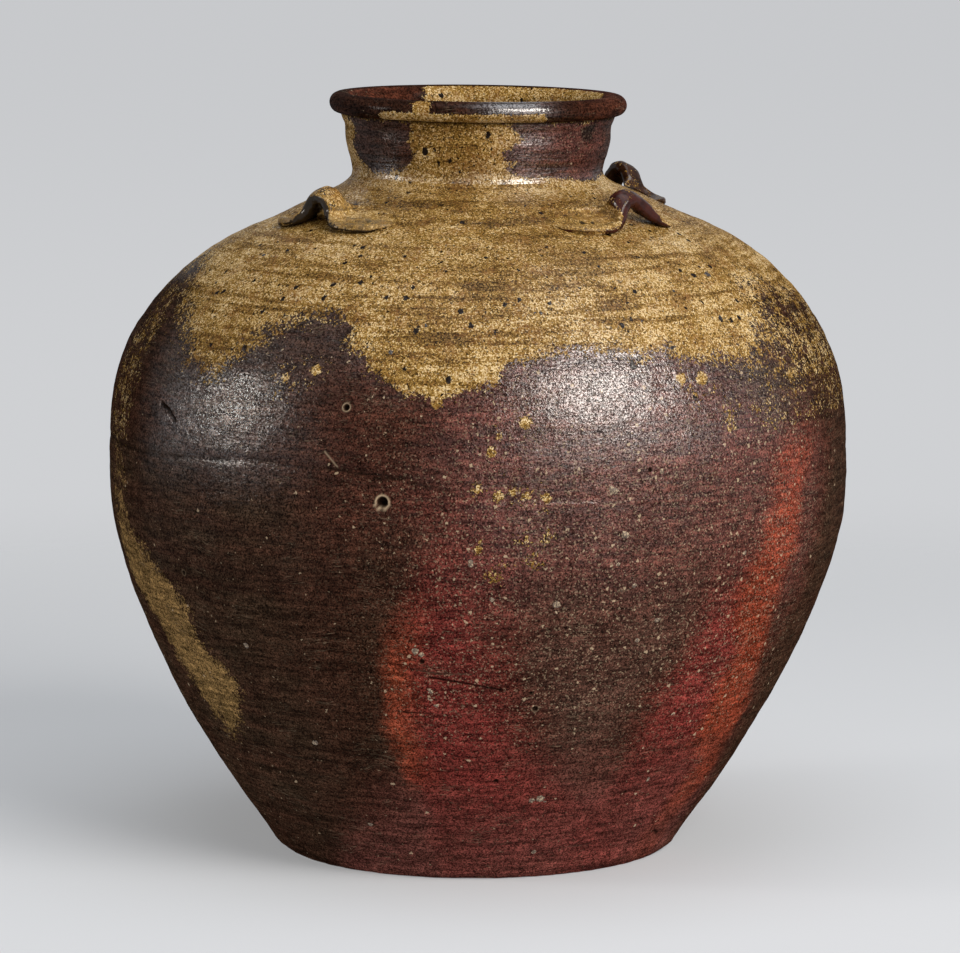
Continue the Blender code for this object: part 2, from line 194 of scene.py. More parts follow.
# Drops of glaze on the bare clay: degrees, height, radius.
GLAZE_DROPS = (
    (-6, 0.2705, 0.003), (2, 0.246, 0.0027), (3, 0.254, 0.002), (7, 0.261, 0.0036),
    (0, 0.226, 0.0017), (3, 0.223, 0.0028), (5, 0.225, 0.0016), (7, 0.223, 0.0022),
    (10, 0.222, 0.0028), (0, 0.195, 0.0023), (4, 0.186, 0.0012), (8, 0.188, 0.0012),
    (2, 0.18, 0.0011), (7, 0.2, 0.0014), (10, 0.202, 0.0012), (-26, 0.285, 0.0032),
    (-31, 0.28, 0.0026), (37, 0.278, 0.004), (33, 0.279, 0.003), (35, 0.27, 0.0018),
    (41, 0.26, 0.0016), (100, 0.24, 0.003), (140, 0.25, 0.0034), (-150, 0.26, 0.003),
)

# Fields of glaze specks off the coat: left and right in degrees, low and high, and how thick.
SPLASHES = (
    (50, 96, 0.262, 0.31, -0.15), (42, 96, 0.24, 0.296, -0.45), (28, 60, 0.256, 0.296, -1.05),
    (-44, -24, 0.296, 0.318, -0.35), (-4, 16, 0.215, 0.268, -1.45), (-84, -64, 0.225, 0.325, -0.35),
    (-60, -44, 0.268, 0.29, -0.7),
)

# Pits left by burst bubbles and lost grit: degrees, height, radius, depth, and how pale the
# ring round each is.
PITS = (
    (-14, 0.219, 0.0032, 0.003, 1.0), (-20, 0.267, 0.0019, 0.002, 0.8),
    (-9, 0.133, 0.0017, 0.0014, 0.0), (9, 0.115, 0.0013, 0.0012, 0.0),
    (10, 0.106, 0.0017, 0.0014, 0.3), (4, 0.063, 0.0015, 0.0012, 0.0),
    (34, 0.05, 0.0012, 0.001, 0.0), (59, 0.094, 0.002, 0.0012, 0.0),
    (-52, 0.17, 0.0014, 0.001, 0.3), (26, 0.234, 0.0014, 0.001, 0.0),
    (150, 0.2, 0.0022, 0.0018, 0.3), (-120, 0.15, 0.002, 0.0016, 0.3),
)

# Cuts and scratches, each as a run of degrees and heights, half its width, its depth, and how
# pale it is.
CUTS = (
    (((-8, 0.124), (-4, 0.122), (4, 0.117)), 0.00055, 0.0012, 0.0),
    (((-10, 0.128), (-6, 0.1262), (-1, 0.1262)), 0.00035, 0.0005, 0.2),
    (((-14, 0.104), (-5, 0.1025)), 0.0003, 0.0004, 0.0),
    (((-57, 0.259), (-55, 0.257), (-53, 0.252)), 0.0012, 0.0018, 0.0),
    (((-23, 0.244), (-21, 0.2365)), 0.00035, 0.0004, 0.9),
    (((53, 0.019), (56, 0.0165)), 0.0012, 0.0008, 0.0),
)

# Bits of stone that burst through the clay: degrees, height, size.
STONES = (
    (20, 0.2245, 0.0062), (22, 0.201, 0.0044), (12, 0.165, 0.0052), (12, 0.161, 0.003),
    (17, 0.165, 0.0034), (14, 0.051, 0.0052), (12, 0.05, 0.0036), (15, 0.0495, 0.003),
    (-10, 0.139, 0.0044), (-9, 0.137, 0.0026), (-8, 0.116, 0.004), (-8, 0.111, 0.0036),
    (-7, 0.108, 0.0044), (-1, 0.188, 0.0042), (2, 0.168, 0.0028), (24, 0.173, 0.0034),
    (29, 0.153, 0.0034), (26, 0.142, 0.0026), (21, 0.185, 0.0028), (35, 0.188, 0.0038),
    (44, 0.185, 0.0034), (28, 0.233, 0.0028), (33, 0.258, 0.0026), (38, 0.096, 0.0042),
    (33, 0.094, 0.0026), (45, 0.092, 0.0026), (39, 0.056, 0.0028), (15, 0.017, 0.0028),
    (-41, 0.134, 0.0034), (-32, 0.081, 0.0036), (-25, 0.033, 0.0032), (95, 0.15, 0.0036),
    (130, 0.21, 0.004), (-110, 0.17, 0.0034), (-165, 0.12, 0.0036),
)

# Iron blisters in the glaze: degrees, height, size.
BLISTERS = (
    (-13, 0.318, 0.0044), (-9, 0.308, 0.0036), (-14, 0.295, 0.0024), (-18, 0.297, 0.0018),
    (29, 0.309, 0.0066), (33, 0.296, 0.0058), (25, 0.287, 0.004), (46, 0.307, 0.0046),
    (51, 0.328, 0.0046), (10, 0.314, 0.0038), (29, 0.336, 0.0034), (-50, 0.302, 0.0026),
    (-43, 0.305, 0.002), (-39, 0.323, 0.0022), (-36, 0.324, 0.0018), (-52, 0.337, 0.002),
    (-25, 0.345, 0.0018), (-21, 0.322, 0.0016), (-14, 0.311, 0.0016), (22, 0.315, 0.0014),
    (11, 0.314, 0.0018), (39, 0.322, 0.0018), (31, 0.323, 0.0018), (25, 0.289, 0.0024),
    (63, 0.302, 0.003), (90, 0.32, 0.0024), (120, 0.305, 0.0026), (160, 0.315, 0.0024),
    (-160, 0.31, 0.0024), (-125, 0.318, 0.0026), (-95, 0.33, 0.0022),
)

# Half a lug from its crown to its tip. Each row: place along the jar's round, height of the
# strap's middle over the wall, place down the slope, width, thickness, and how far its end is
# pressed flat by a thumb, from 0 to 1.
LONG_LEG = (
    (0.0, 0.0152, -0.0066, 0.0128, 0.0084, 0.0),
    (0.0038, 0.0144, -0.0064, 0.0132, 0.0084, 0.0),
    (0.0068, 0.0116, -0.0056, 0.0146, 0.0084, 0.1),
    (0.0086, 0.0086, -0.0048, 0.0172, 0.0084, 0.4),
    (0.0108, 0.0066, -0.004, 0.0212, 0.0084, 0.8),
    (0.0142, 0.0054, -0.0036, 0.0248, 0.0082, 1.0),
    (0.019, 0.0048, -0.0034, 0.0274, 0.008, 1.0),
    (0.026, 0.0044, -0.0036, 0.0282, 0.0076, 1.0),
    (0.034, 0.004, -0.0038, 0.0256, 0.007, 1.0),
    (0.041, 0.0034, -0.004, 0.019, 0.006, 1.0),
    (0.0452, 0.0025, -0.0042, 0.011, 0.0044, 0.9),
    (0.047, 0.0013, -0.0042, 0.0018, 0.0018, 0.6),
)
STEEP_LEG = (
    (0.0, 0.0152, -0.0066, 0.0122, 0.008, 0.0),
    (0.0044, 0.014, -0.006, 0.0122, 0.008, 0.0),
    (0.008, 0.0104, -0.0044, 0.0126, 0.0076, 0.0),
    (0.0104, 0.0072, -0.0026, 0.0142, 0.0074, 0.2),
    (0.014, 0.0054, -0.001, 0.019, 0.008, 0.7),
    (0.019, 0.0049, 0.0002, 0.0222, 0.008, 1.0),
    (0.025, 0.0046, 0.0006, 0.0216, 0.0078, 1.0),
    (0.03, 0.0039, 0.0004, 0.0172, 0.0068, 1.0),
    (0.033, 0.0026, 0.0004, 0.009, 0.0044, 0.9),
    (0.0344, 0.0014, 0.0004, 0.0018, 0.0018, 0.6),
)
SLANTED_LEG = (
    (0.0, 0.0152, -0.0066, 0.0122, 0.008, 0.0),
    (0.005, 0.0136, -0.0056, 0.0124, 0.0082, 0.0),
    (0.01, 0.0106, -0.0036, 0.0124, 0.0082, 0.0),
    (0.015, 0.0076, -0.0012, 0.0124, 0.0074, 0.1),
    (0.02, 0.0052, 0.0012, 0.0122, 0.0062, 0.3),
    (0.025, 0.0036, 0.0032, 0.0112, 0.005, 0.4),
    (0.029, 0.0026, 0.0042, 0.0086, 0.0038, 0.4),
    (0.0312, 0.0014, 0.0046, 0.0016, 0.0016, 0.4),
)

# Lugs by name: degrees from the front, the side of the first leg, the first and the other leg,
# the share of the usual distance that the lug stands from the neck, how thickly the glaze covers
# the strap and the pads, and how red its bare clay is.
LUGS = {
    "lug_front": (-2.7, 1, LONG_LEG, STEEP_LEG, 1.0, 0.62, 0.85, 0.05),
    "lug_right": (90.9, -1, LONG_LEG, SLANTED_LEG, 1.0, 0.3, 1.0, 1.0),
    "lug_back": (171.5, 1, STEEP_LEG, STEEP_LEG, 0.77, 0.36, 0.4, 0.45),
    "lug_left": (257.5, -1, LONG_LEG, STEEP_LEG, 0.95, 0.4, 0.9, 0.3),
}

SPIN_STEPS = 72
WALL_CUTS = 9
NECK_CUTS = 6
OUTLINE_SAMPLES = 2000
MERGE_DISTANCE = 0.00001
LATTICE = 64

PANEL_FRAY = 0.0022
DROP_FRAY = 0.0012
SPLASH_SIDE = 6.0
SPLASH_END = 0.012

LUG_NECK_DISTANCE = 0.0434
LUG_SEAT_DEPTH = 0.0012
LUG_PAD_FLOOR_SHARE = 0.30
LUG_HALF_STATIONS = 46
LUG_SECTION_STEPS = 48
LUG_LEAN_REACH = 0.01
LUG_SEAT_SAMPLES = 1200

LUG_CLAY = (0.022, 0.014, 0.0055)
LUG_RED_CLAY = (0.040, 0.0098, 0.0070)
RIM_CLAY = (0.024, 0.0090, 0.0050)
RIM_RED_CLAY = (0.075, 0.022, 0.012)
STONE_HOLLOW = (0.10, 0.07, 0.05)
BLISTER_SKIN = (0.055, 0.042, 0.034)

FLOOR_RADIUS = 1.4
FLOOR_FADE = 0.7
FLOOR_GLOW = 0.25
FLOOR_GLOW_COLOUR = (0.98, 0.99, 1.0)
WARM = (1.0, 0.935, 0.86)
COOL = (0.94, 0.97, 1.0)
LAMP_DISTANCE = 3.6
LAMP_TARGET = (0.0, 0.0, 0.22)

# Lamps by name: degrees from the face, degrees above the floor, width, height, the stage's own
# setting of its power, and its colour.
LAMPS = {
    "key_lamp": (40.0, 32.0, 2.1, 1.7, "key_watts", WARM),
    "low_lamp": (38.0, 4.0, 4.0, 1.2, "low_watts", WARM),
    "side_lamp": (-82.0, 14.0, 0.6, 0.85, "side_watts", WARM),
    "top_lamp": (20.0, 80.0, 3.2, 3.2, "top_watts", COOL),
}

CAMERA_DISTANCE = 2.700
CAMERA_HEIGHT = 0.5879
CAMERA_TARGET = (0.0, 0.0, 0.2044)
FOCAL_PIXELS = 4898.9
PICTURE_PIXELS = 960.0
AXIS_PIXEL = 478.0
SENSOR_WIDTH = 36.0


def length_prop(name, default, description):
    return bpy.props.FloatProperty(name=name, description=description, default=default, unit="LENGTH")


def power_prop(name, default, description):
    return bpy.props.FloatProperty(name=name, description=description, default=default, unit="POWER")


def colour_prop(name, default, description):
    return bpy.props.FloatVectorProperty(
        name=name, description=description, default=default, subtype="COLOR")


class JarShape(bpy.types.PropertyGroup):
    """Sizes of the jar's own clay."""

    foot_radius: length_prop("Foot radius", 0.110, "Radius of the foot on the floor")
    belly_height: length_prop("Belly height", 0.212, "Height of the widest point")
    neck_radius: length_prop("Neck radius", 0.0686, "Outer radius at the neck's narrowest point")
    neck_height: length_prop("Neck height", 0.378, "Height of the neck's narrowest point")
    collar_flare: length_prop("Collar flare", 0.0070, "How far the collar widens up to the rim")
    foot_wall: length_prop("Foot wall", 0.011, "Thickness of the wall at the foot")
    shoulder_wall: length_prop("Shoulder wall", 0.009, "Thickness of the wall at the shoulder")
    collar_wall: length_prop("Collar wall", 0.0075, "Thickness of the collar")
    foot_edge: length_prop("Foot edge", 0.003, "Radius of the rubbed edge of the foot")
    seam_depth: length_prop("Seam depth", 0.0010, "Depth of the groove round the belly")
    ridge_height: length_prop("Throwing ridges", 0.00035, "Height of the ridges left by the fingers")
    lump_height: length_prop("Lumps", 0.0007, "Unevenness of the hand-built wall")
    glaze_depth: length_prop("Glaze depth", 0.00025, "Thickness of the glaze at its edge")
    rim_drop: length_prop("Rim drop", 0.0024, "How far the mouth sank in the fire")
    rim_tilt: length_prop("Rim tilt", 0.0010, "How much lower the mouth's right side lies than its middle")
    shoulder_sag: length_prop("Shoulder sag", 0.0040, "How far the left shoulder sank")
    foot_lean: length_prop("Foot lean", 0.0017, "How far the foot stands to the left of the axis")


class JarColours(bpy.types.PropertyGroup):
    """Colours of the fired clay and the ash glaze."""

    clay: colour_prop("Clay", (0.046, 0.0165, 0.0105), "Bare clay of the flank")
    crimson: colour_prop("Crimson", (0.120, 0.0210, 0.0170), "Red flash")
    ember: colour_prop("Ember", (0.200, 0.045, 0.020), "Orange edge of a flash")
    plum: colour_prop("Plum", (0.113, 0.038, 0.0305), "Red-brown clay near the foot")
    purple: colour_prop("Purple", (0.100, 0.032, 0.025), "Purple-brown clay")
    flash: colour_prop("Flash", (0.172, 0.032, 0.0150), "Orange-brown flash")
    umber_clay: colour_prop("Umber clay", (0.030, 0.0145, 0.0085), "Darkest clay beside a flash")
    mud: colour_prop("Mud", (0.062, 0.030, 0.0215), "Grey-brown clay between flashes")
    olive: colour_prop("Olive", (0.035, 0.0200, 0.0120), "Clay darkened by ash")
    thin_ash: colour_prop("Thin ash", (0.200, 0.123, 0.047), "Matt ash on the flank")
    ochre: colour_prop("Ochre", (0.220, 0.122, 0.024), "Ash glaze")
    pale_ochre: colour_prop("Pale ochre", (0.420, 0.257, 0.068), "Thick ash glaze")
    amber: colour_prop("Amber", (0.200, 0.086, 0.024), "Orange-brown blush in the glaze")
    cream: colour_prop("Cream", (0.72, 0.56, 0.32), "Palest grains of the glaze")
    umber: colour_prop("Umber", (0.085, 0.044, 0.012), "Glaze thinned over ridges")
    iron: colour_prop("Iron", (0.010, 0.006, 0.004), "Iron specks")
    stone: colour_prop("Stone", (0.50, 0.38, 0.25), "Bits of feldspar")


class JarStage(bpy.types.PropertyGroup):
    """Floor, lamps and camera round the jar."""

    floor: colour_prop("Floor", (0.47, 0.493, 0.530), "Colour of the floor")
    backdrop_low: colour_prop("Low backdrop", (0.625, 0.634, 0.652), "Backdrop behind the jar")
    backdrop_high: colour_prop("High backdrop", (0.575, 0.584, 0.602), "Backdrop above the jar")
    key_watts: power_prop("Key lamp", 118.0, "Power of the soft lamp on the right")
    low_watts: power_prop("Low lamp", 30.0, "Power of the broad low lamp on the face's right")
    side_watts: power_prop("Side lamp", 31.0, "Power of the soft lamp on the left")
    top_watts: power_prop("Top lamp", 62.0, "Power of the wide lamp overhead")
    world_strength: bpy.props.FloatProperty(
        name="Surroundings", description="Light from all round", default=0.06)


def on_curve(shares, places):
    """Read a smooth curve that never overshoots through given shares, at many places."""
    at, values = (np.array(column) for column in zip(*shares))
    steps = np.diff(at)
    grades = np.diff(values) / steps
    product = grades[:-1] * grades[1:]
    total = grades[:-1] + grades[1:]
    inner = np.where(product <= 0, 0.0, 2 * product / np.where(total == 0, 1, total))
    slopes = np.concatenate(([grades[0]], inner, [grades[-1]]))
    places = np.clip(places, at[0], at[-1])
    index = np.clip(np.searchsorted(at, places, side="left") - 1, 0, len(steps) - 1)
    t = (places - at[index]) / steps[index]
    rise = values[index + 1] - values[index]
    start = values[index] + t * t * (3 - 2 * t) * rise
    lean = t * (1 - t) * ((1 - t) * slopes[index] - t * slopes[index + 1])
    return start + lean * steps[index]


def smooth(low, high, value):
    """Rise from 0 to 1 between two values, without corners."""
    share = np.clip((value - low) / (high - low), 0.0, 1.0)
    return share * share * (3 - 2 * share)


def window(value, rise, fall):
    """1 between two soft sides, each given by the value where it is 0 and the one where it is 1."""
    return smooth(*rise, value) * smooth(*fall, value)


def soft_span(value, low, high, softness):
    """1 from low to high, with sides that fall off over a softness on either side of each."""
    return window(value, (low - softness, low + softness), (high + softness, high - softness))


def hump(value, centre, width):
    """1 at the centre, falling to 0 on both sides like a bell."""
    return np.exp(-(((value - centre) / width) ** 2))


class Outline:
    """The jar's outer and inner outlines, worked out from its sizes."""

    def __init__(self, shape):
        self.shape = shape
        self.heights = np.linspace(0.0, RIM_JOIN, OUTLINE_SAMPLES)
        self.radii = self.exact_outer(self.heights)
        self.slopes = np.gradient(self.radii, self.heights)
        runs = np.hypot(np.diff(self.heights), np.diff(self.radii))
        self.rises = np.concatenate(([0.0], np.cumsum(runs)))

    def exact_outer(self, height):
        shape = self.shape
        foot, belly, neck = shape.foot_radius, shape.belly_height, shape.neck_height
        flank = foot + (BELLY_RADIUS - foot) * on_curve(FLANK_SHARES, height / belly)
        climb = (height - belly) / (neck - belly)
        shoulder = shape.neck_radius + (BELLY_RADIUS - shape.neck_radius) * on_curve(SHOULDER_SHARES, climb)
        climb = (height - neck) / (RIM_JOIN - neck)
        collar = shape.neck_radius + shape.collar_flare * on_curve(COLLAR_SHARES, climb)
        return np.where(height <= belly, flank, np.where(height <= neck, shoulder, collar))

    def outer(self, height):
        return np.interp(height, self.heights, self.radii)

    def slope(self, height):
        return np.interp(height, self.heights, self.slopes)

    def rise(self, height):
        """Distance up the outline from the floor to a height."""
        return np.interp(height, self.heights, self.rises)

    def inner(self, height):
        shape = self.shape
        body = shape.foot_wall + (shape.shoulder_wall - shape.foot_wall) * np.minimum(height / COLLAR_JOIN, 1)
        climb = np.clip((height - COLLAR_JOIN) / (shape.neck_height - COLLAR_JOIN), 0.0, 1.0)
        thickness = body + (shape.collar_wall - shape.shoulder_wall) * climb
        return self.outer(height) - thickness * np.hypot(1.0, self.slope(height))

    def between(self, low, high, count):
        """Heights from low to high that lie evenly along the outline."""
        rises = np.linspace(self.rise(low), self.rise(high), count)
        heights = np.interp(rises, self.rises, self.heights)
        heights[0], heights[-1] = low, high
        return heights

    def point(self, degrees, height):
        """Point on the outer surface and the outward normal there."""
        azimuth = math.radians(degrees + FACE_DEGREES)
        out = Vector((math.sin(azimuth), -math.cos(azimuth), 0.0))
        normal = Vector((out.x, out.y, -float(self.slope(height)))).normalized()
        return out * float(self.outer(height)) + Vector((0.0, 0.0, height)), normal


def settings():
    scene = bpy.context.scene
    return scene.jar_shape, scene.jar_colours, Outline(scene.jar_shape)


def lumps(points, size, seed):
    """Soft noise from -1 to 1 over points, with lumps of about one size."""
    lattice = np.random.default_rng(seed).uniform(-1.0, 1.0, (LATTICE, LATTICE, LATTICE))
    cells = points / size
    base = np.floor(cells).astype(int)
    part = cells - base
    part = part * part * (3 - 2 * part)
    total = np.zeros(len(points))
    for corner in np.ndindex(2, 2, 2):
        weight = np.prod(np.where(corner, part, 1 - part), axis=1)
        at = (base + corner) % LATTICE
        total += weight * lattice[at[:, 0], at[:, 1], at[:, 2]]
    return total


def banded(points, along, across, seed):
    """Soft noise drawn out round the jar: bands of a height, broken over a length."""
    return lumps(points * (across / along, across / along, 1.0), across, seed)


def degrees_from_face(points):
    """Degrees from the face for each point, from -180 to 180."""
    azimuth = np.degrees(np.arctan2(points[:, 0], -points[:, 1])) - FACE_DEGREES
    return (azimuth + 180.0) % 360.0 - 180.0


class Surface:
    """Points on the jar, with the places that its marks and coats are given by."""

    def __init__(self, points, outline):
        self.points = points
        self.outline = outline
        self.heights = points[:, 2]
        self.degrees = degrees_from_face(points)
        self.radius = np.maximum(np.hypot(points[:, 0], points[:, 1]), MERGE_DISTANCE)
        self.turn = np.radians(self.degrees)
        self.rise = outline.rise(self.heights)

    def way_to(self, run):
        """Distance over the surface to a run of (degrees, height) points."""
        ends = [(math.radians(degrees), float(self.outline.rise(height))) for degrees, height in run]
        nearest = np.full(len(self.turn), np.inf)
        for (turn_a, rise_a), (turn_b, rise_b) in zip(ends, ends[1:]):
            middle = (turn_a + turn_b) / 2
            offset = (self.turn - middle + math.pi) % math.tau - math.pi
            x = (offset + middle - turn_a) * self.radius
            y = self.rise - rise_a
            along_x = (turn_b - turn_a) * self.radius
            along_y = rise_b - rise_a
            length = along_x * along_x + along_y * along_y + MERGE_DISTANCE ** 2
            share = np.clip((x * along_x + y * along_y) / length, 0.0, 1.0)
            nearest = np.minimum(nearest, np.hypot(x - share * along_x, y - share * along_y))
        return nearest

    def inside(self, panel):
        """Which points lie inside a closed outline of (degrees, height) points."""
        inside = np.zeros(len(self.degrees), dtype=bool)
        for (turn_a, high_a), (turn_b, high_b) in zip(panel, panel[1:] + panel[:1]):
            crosses = (self.heights > high_a) != (self.heights > high_b)
            step = (high_b - high_a) or MERGE_DISTANCE
            at = turn_a + (self.heights - high_a) / step * (turn_b - turn_a)
            inside ^= crosses & (self.degrees < at)
        return inside

    def glaze_cover(self):
        """Signed distance into the glaze over the fray's width, and the plain distance."""
        distance = self.way_to(GLAZE_EDGE)
        above = self.heights > np.interp(self.degrees, *zip(*GLAZE_EDGE))
        distance = np.where(above, distance, -distance)
        fray = np.interp(self.degrees, *zip(*GLAZE_FRAY))
        for panel in BARE_PANELS:
            away = self.way_to(panel + panel[:1])
            away = np.where(self.inside(panel), -away, away)
            fray = np.where(away < np.abs(distance), PANEL_FRAY, fray)
            distance = np.minimum(distance, away)
        for degrees, height, radius in GLAZE_DROPS:
            away = self.way_to(((degrees, height),) * 2)
            fray = np.where(away < 2 * radius, DROP_FRAY, fray)
            distance = np.maximum(distance, radius - away)
        cover = distance / fray
        for left, right, low, high, level in SPLASHES:
            inside = soft_span(self.degrees, left, right, SPLASH_SIDE)
            inside *= soft_span(self.heights, low, high, SPLASH_END)
            cover = np.maximum(cover, level - 4.0 * (1 - inside))
        return cover, distance

    def wavered(self):
        """Degrees and heights, shifted here and there so that painted sides waver."""
        shift = 1.6 * lumps(self.points, 0.022, 21) + 0.9 * lumps(self.points, 0.008, 22)
        return self.degrees + shift, self.heights + 0.006 * lumps(self.points, 0.028, 23)


def settle(points, shape):
    """Move points as the jar slumped a little in the fire."""
    face = math.radians(FACE_DEGREES)
    right = np.array((math.cos(face), math.sin(face), 0.0))
    heights = points[:, 2]
    high = smooth(0.30, 0.40, heights)
    sagged = window(degrees_from_face(points), (-60.0, -105.0), (-175.0, -135.0))
    sagged *= window(heights, (0.27, 0.335), (0.385, 0.365))
    moved = points - (shape.foot_lean * smooth(0.16, 0.0, heights))[:, None] * right
    moved[:, 2] -= high * (shape.rim_drop + shape.rim_tilt * (points @ right) / RIM_RADIUS)
    moved[:, 2] -= shape.shoulder_sag * sagged
    return moved


def relief(at, distance, shape):
    """Height of the surface above the plain outline, and where the throwing ridges stand."""
    points = at.points
    ridges = 0.6 * banded(points, 0.22, 0.0055, 11) + 0.4 * banded(points, 0.12, 0.0030, 12)
    share = 0.25 + 0.35 * smooth(0.13, 0.16, at.heights) + 0.6 * smooth(0.27, 0.31, at.heights)
    raised = shape.ridge_height * ridges * share
    raised += shape.lump_height * (0.7 * lumps(points, 0.045, 13) + 0.35 * banded(points, 0.09, 0.018, 14))
    raised += 0.00016 * lumps(points, 0.0042, 15) * smooth(0.375, 0.36, at.heights)
    raised += 0.00010 * lumps(points, 0.0085, 16)
    broken = 0.65 + 0.5 * lumps(points, 0.016, 17)
    raised -= shape.seam_depth * broken * hump(at.way_to(BELLY_SEAM), 0.0, 0.0016)
    raised += shape.glaze_depth * smooth(-0.0006, 0.0014, distance + 0.0012 * lumps(points, 0.004, 18))
    return raised, ridges


def add_scars(at, raised):
    """Sink the pits and cuts into the relief; gives back where they are pale, and the painted shade in the
    pits, the cuts, the belly seam's groove and under the rim.
    """
    pale = np.zeros(len(at.points))
    # Painted shade in the belly seam's groove, on the left side only.
    dark = 0.85 * hump(at.way_to(BELLY_SEAM), 0.0, 0.0009)
    dark *= window(at.degrees, (8.0, -12.0), (-176.0, -150.0))
    dark *= smooth(-0.7, 0.1, lumps(at.points, 0.012, 19))
    # Painted shadow under the overhanging rim roll, round the top of the neck.
    dark = np.maximum(dark, hump(at.heights, RIM_JOIN, 0.0011))
    for degrees, height, radius, depth, paleness in PITS:
        away = at.way_to(((degrees, height),) * 2) / radius
        ring = hump(away, 1.12, 0.18)
        raised += depth * (0.14 * ring - smooth(1.0, 0.45, away))
        pale = np.maximum(pale, paleness * ring)
        # Painted shade inside each pit.
        dark = np.maximum(dark, smooth(1.05, 0.75, away))
    for run, half_width, depth, paleness in CUTS:
        groove = hump(at.way_to(run), 0.0, half_width)
        raised -= depth * groove
        pale = np.maximum(pale, paleness * groove)
        # Painted shade in each cut, less in the pale ones.
        dark = np.maximum(dark, (1 - paleness) * groove)
    return pale, dark


def flash_cover(degrees, heights, left, left_softness, right, right_softness, strength):
    """How strongly a flash between two sides covers each point, from 0 to 1."""
    left, right, strength = (np.interp(heights, *zip(*side)) for side in (left, right, strength))
    cover = smooth(left - left_softness / 2, left + left_softness / 2, degrees)
    return strength * cover * smooth(right + right_softness / 2, right - right_softness / 2, degrees)


def clay_colours(at, colours):
    """Colour of the bare clay at each point, painted by the flashes of the fire."""
    places = at.wavered()
    painted = np.tile(np.array(colours.clay), (len(at.points), 1))
    uneven = 1.0 + 0.22 * lumps(at.points, 0.016, 24) + 0.30 * banded(at.points, 0.050, 0.0045, 28)
    for name, *sides in FLASHES:
        cover = np.clip(flash_cover(*places, *sides) * uneven, 0.0, 1.0)
        painted += cover[:, None] * (np.array(getattr(colours, name)) - painted)
    return painted


def sheen_cover(at):
    """How glassy the surface is: bright on the face from the belly up, dull below and aside."""
    degrees, heights = at.wavered()
    level = 0.08 + 0.92 * smooth(0.14, 0.25, heights + 0.012 * lumps(at.points, 0.03, 25))
    lit_left = 0.85 * window(degrees, (-70.0, -50.0), (-18.0, -38.0))
    lit_left *= window(heights, (0.205, 0.245), (0.292, 0.268))
    left = window(degrees, (6.0, -14.0), (-175.0, -150.0))
    level *= 1 - 0.80 * left * smooth(0.290, 0.262, heights) * (1 - lit_left)
    lit_right = window(degrees, (2.0, 18.0), (58.0, 42.0)) * smooth(0.228, 0.252, heights)
    level *= 0.40 + 0.60 * np.maximum(np.maximum(lit_left, lit_right), smooth(0.33, 0.35, heights))
    level *= 1 - 0.92 * smooth(0.33, 0.31, heights) * window(np.abs(degrees), (54.0, 67.0), (150.0, 110.0))
    level *= 1 - smooth(0.376, 0.382, heights) * (0.82 - 0.9 * hump(degrees, 22.0, 12.0))
    fillet = hump(heights, 0.372, 0.009) * window(degrees, (-60.0, -40.0), (50.0, 28.0))
    return (level + 4.0 * fillet) * (0.85 + 0.15 * lumps(at.points, 0.012, 26))


def grit_cover(at):
    """How thickly bits of feldspar lie in the clay: most on the face round the belly."""
    degrees, heights = at.wavered()
    face = window(degrees, (-26.0, 2.0), (74.0, 50.0))
    belt = smooth(0.055, 0.12, heights) * (1 - 0.3 * smooth(0.22, 0.27, heights))
    return np.clip(0.14 + 0.86 * face * belt * (1 + 0.5 * lumps(at.points, 0.030, 27)), 0.0, 1.0)


def is_level(edge, chord):
    """Whether an edge runs round the axis, from one step of the spin to the next."""
    first, second = (vert.co for vert in edge.verts)
    radius = math.hypot(first.x, first.y)
    across = math.hypot(first.x - second.x, first.y - second.y)
    return abs(first.z - second.z) < MERGE_DISTANCE and abs(across - 2 * radius * chord) < MERGE_DISTANCE


def spin_outline(outline_points, cuts, closed=True):
    """Spin an outline of (radius, height) points once round the axis, and cut each step finer."""
    bm = bmesh.new()
    corners = [bm.verts.new((float(radius), 0.0, float(height))) for radius, height in outline_points]
    pairs = list(zip(corners, corners[1:]))
    if closed:
        pairs.append((corners[-1], corners[0]))
    edges = [bm.edges.new(pair) for pair in pairs]
    bmesh.ops.spin(bm, geom=corners + edges, cent=(0.0, 0.0, 0.0), axis=(0.0, 0.0, 1.0),
                   angle=math.tau, steps=SPIN_STEPS, use_merge=True)
    bmesh.ops.remove_doubles(bm, verts=bm.verts, dist=MERGE_DISTANCE)
    half_step = math.pi / SPIN_STEPS
    level = [edge for edge in bm.edges if is_level(edge, math.sin(half_step))]
    bmesh.ops.subdivide_edges(bm, edges=level, cuts=cuts, use_grid_fill=True)
    for vert in bm.verts:
        turn = math.atan2(vert.co.y, vert.co.x) % (2 * half_step)
        bow = math.cos(turn - half_step) / math.cos(half_step)
        vert.co.x *= bow
        vert.co.y *= bow
    bmesh.ops.recalc_face_normals(bm, faces=bm.faces)
    return bm


def refine_near(bm, places, outline, reach=0.0055, cuts=3):
    """Cut the faces round small details finer, so that they keep their shape."""
    faces = list(bm.faces)
    middles = np.array([face.calc_center_median() for face in faces])
    near = np.zeros(len(faces), dtype=bool)
    for degrees, height in places:
        centre, _ = outline.point(degrees, height)
        near |= np.linalg.norm(middles - np.array(centre), axis=1) < reach
    edges = list({edge for face, close in zip(faces, near) if close for edge in face.edges})
    if edges:
        bmesh.ops.subdivide_edges(bm, edges=edges, cuts=cuts, use_grid_fill=True)


def new_mesh(name, bm):
    mesh = bpy.data.meshes.new(name)
    bm.to_mesh(mesh)
    bm.free()
    return mesh


def read_vectors(mesh, field):
    """The "co" or the "normal" of each vertex."""
    values = np.empty(len(mesh.vertices) * 3)
    mesh.vertices.foreach_get(field, values)
    return values.reshape(-1, 3)


def place_vertices(mesh, points):
    """Move the vertices to points, as the jar settled in the fire."""
    mesh.vertices.foreach_set("co", settle(points, bpy.context.scene.jar_shape).ravel())
    mesh.update()


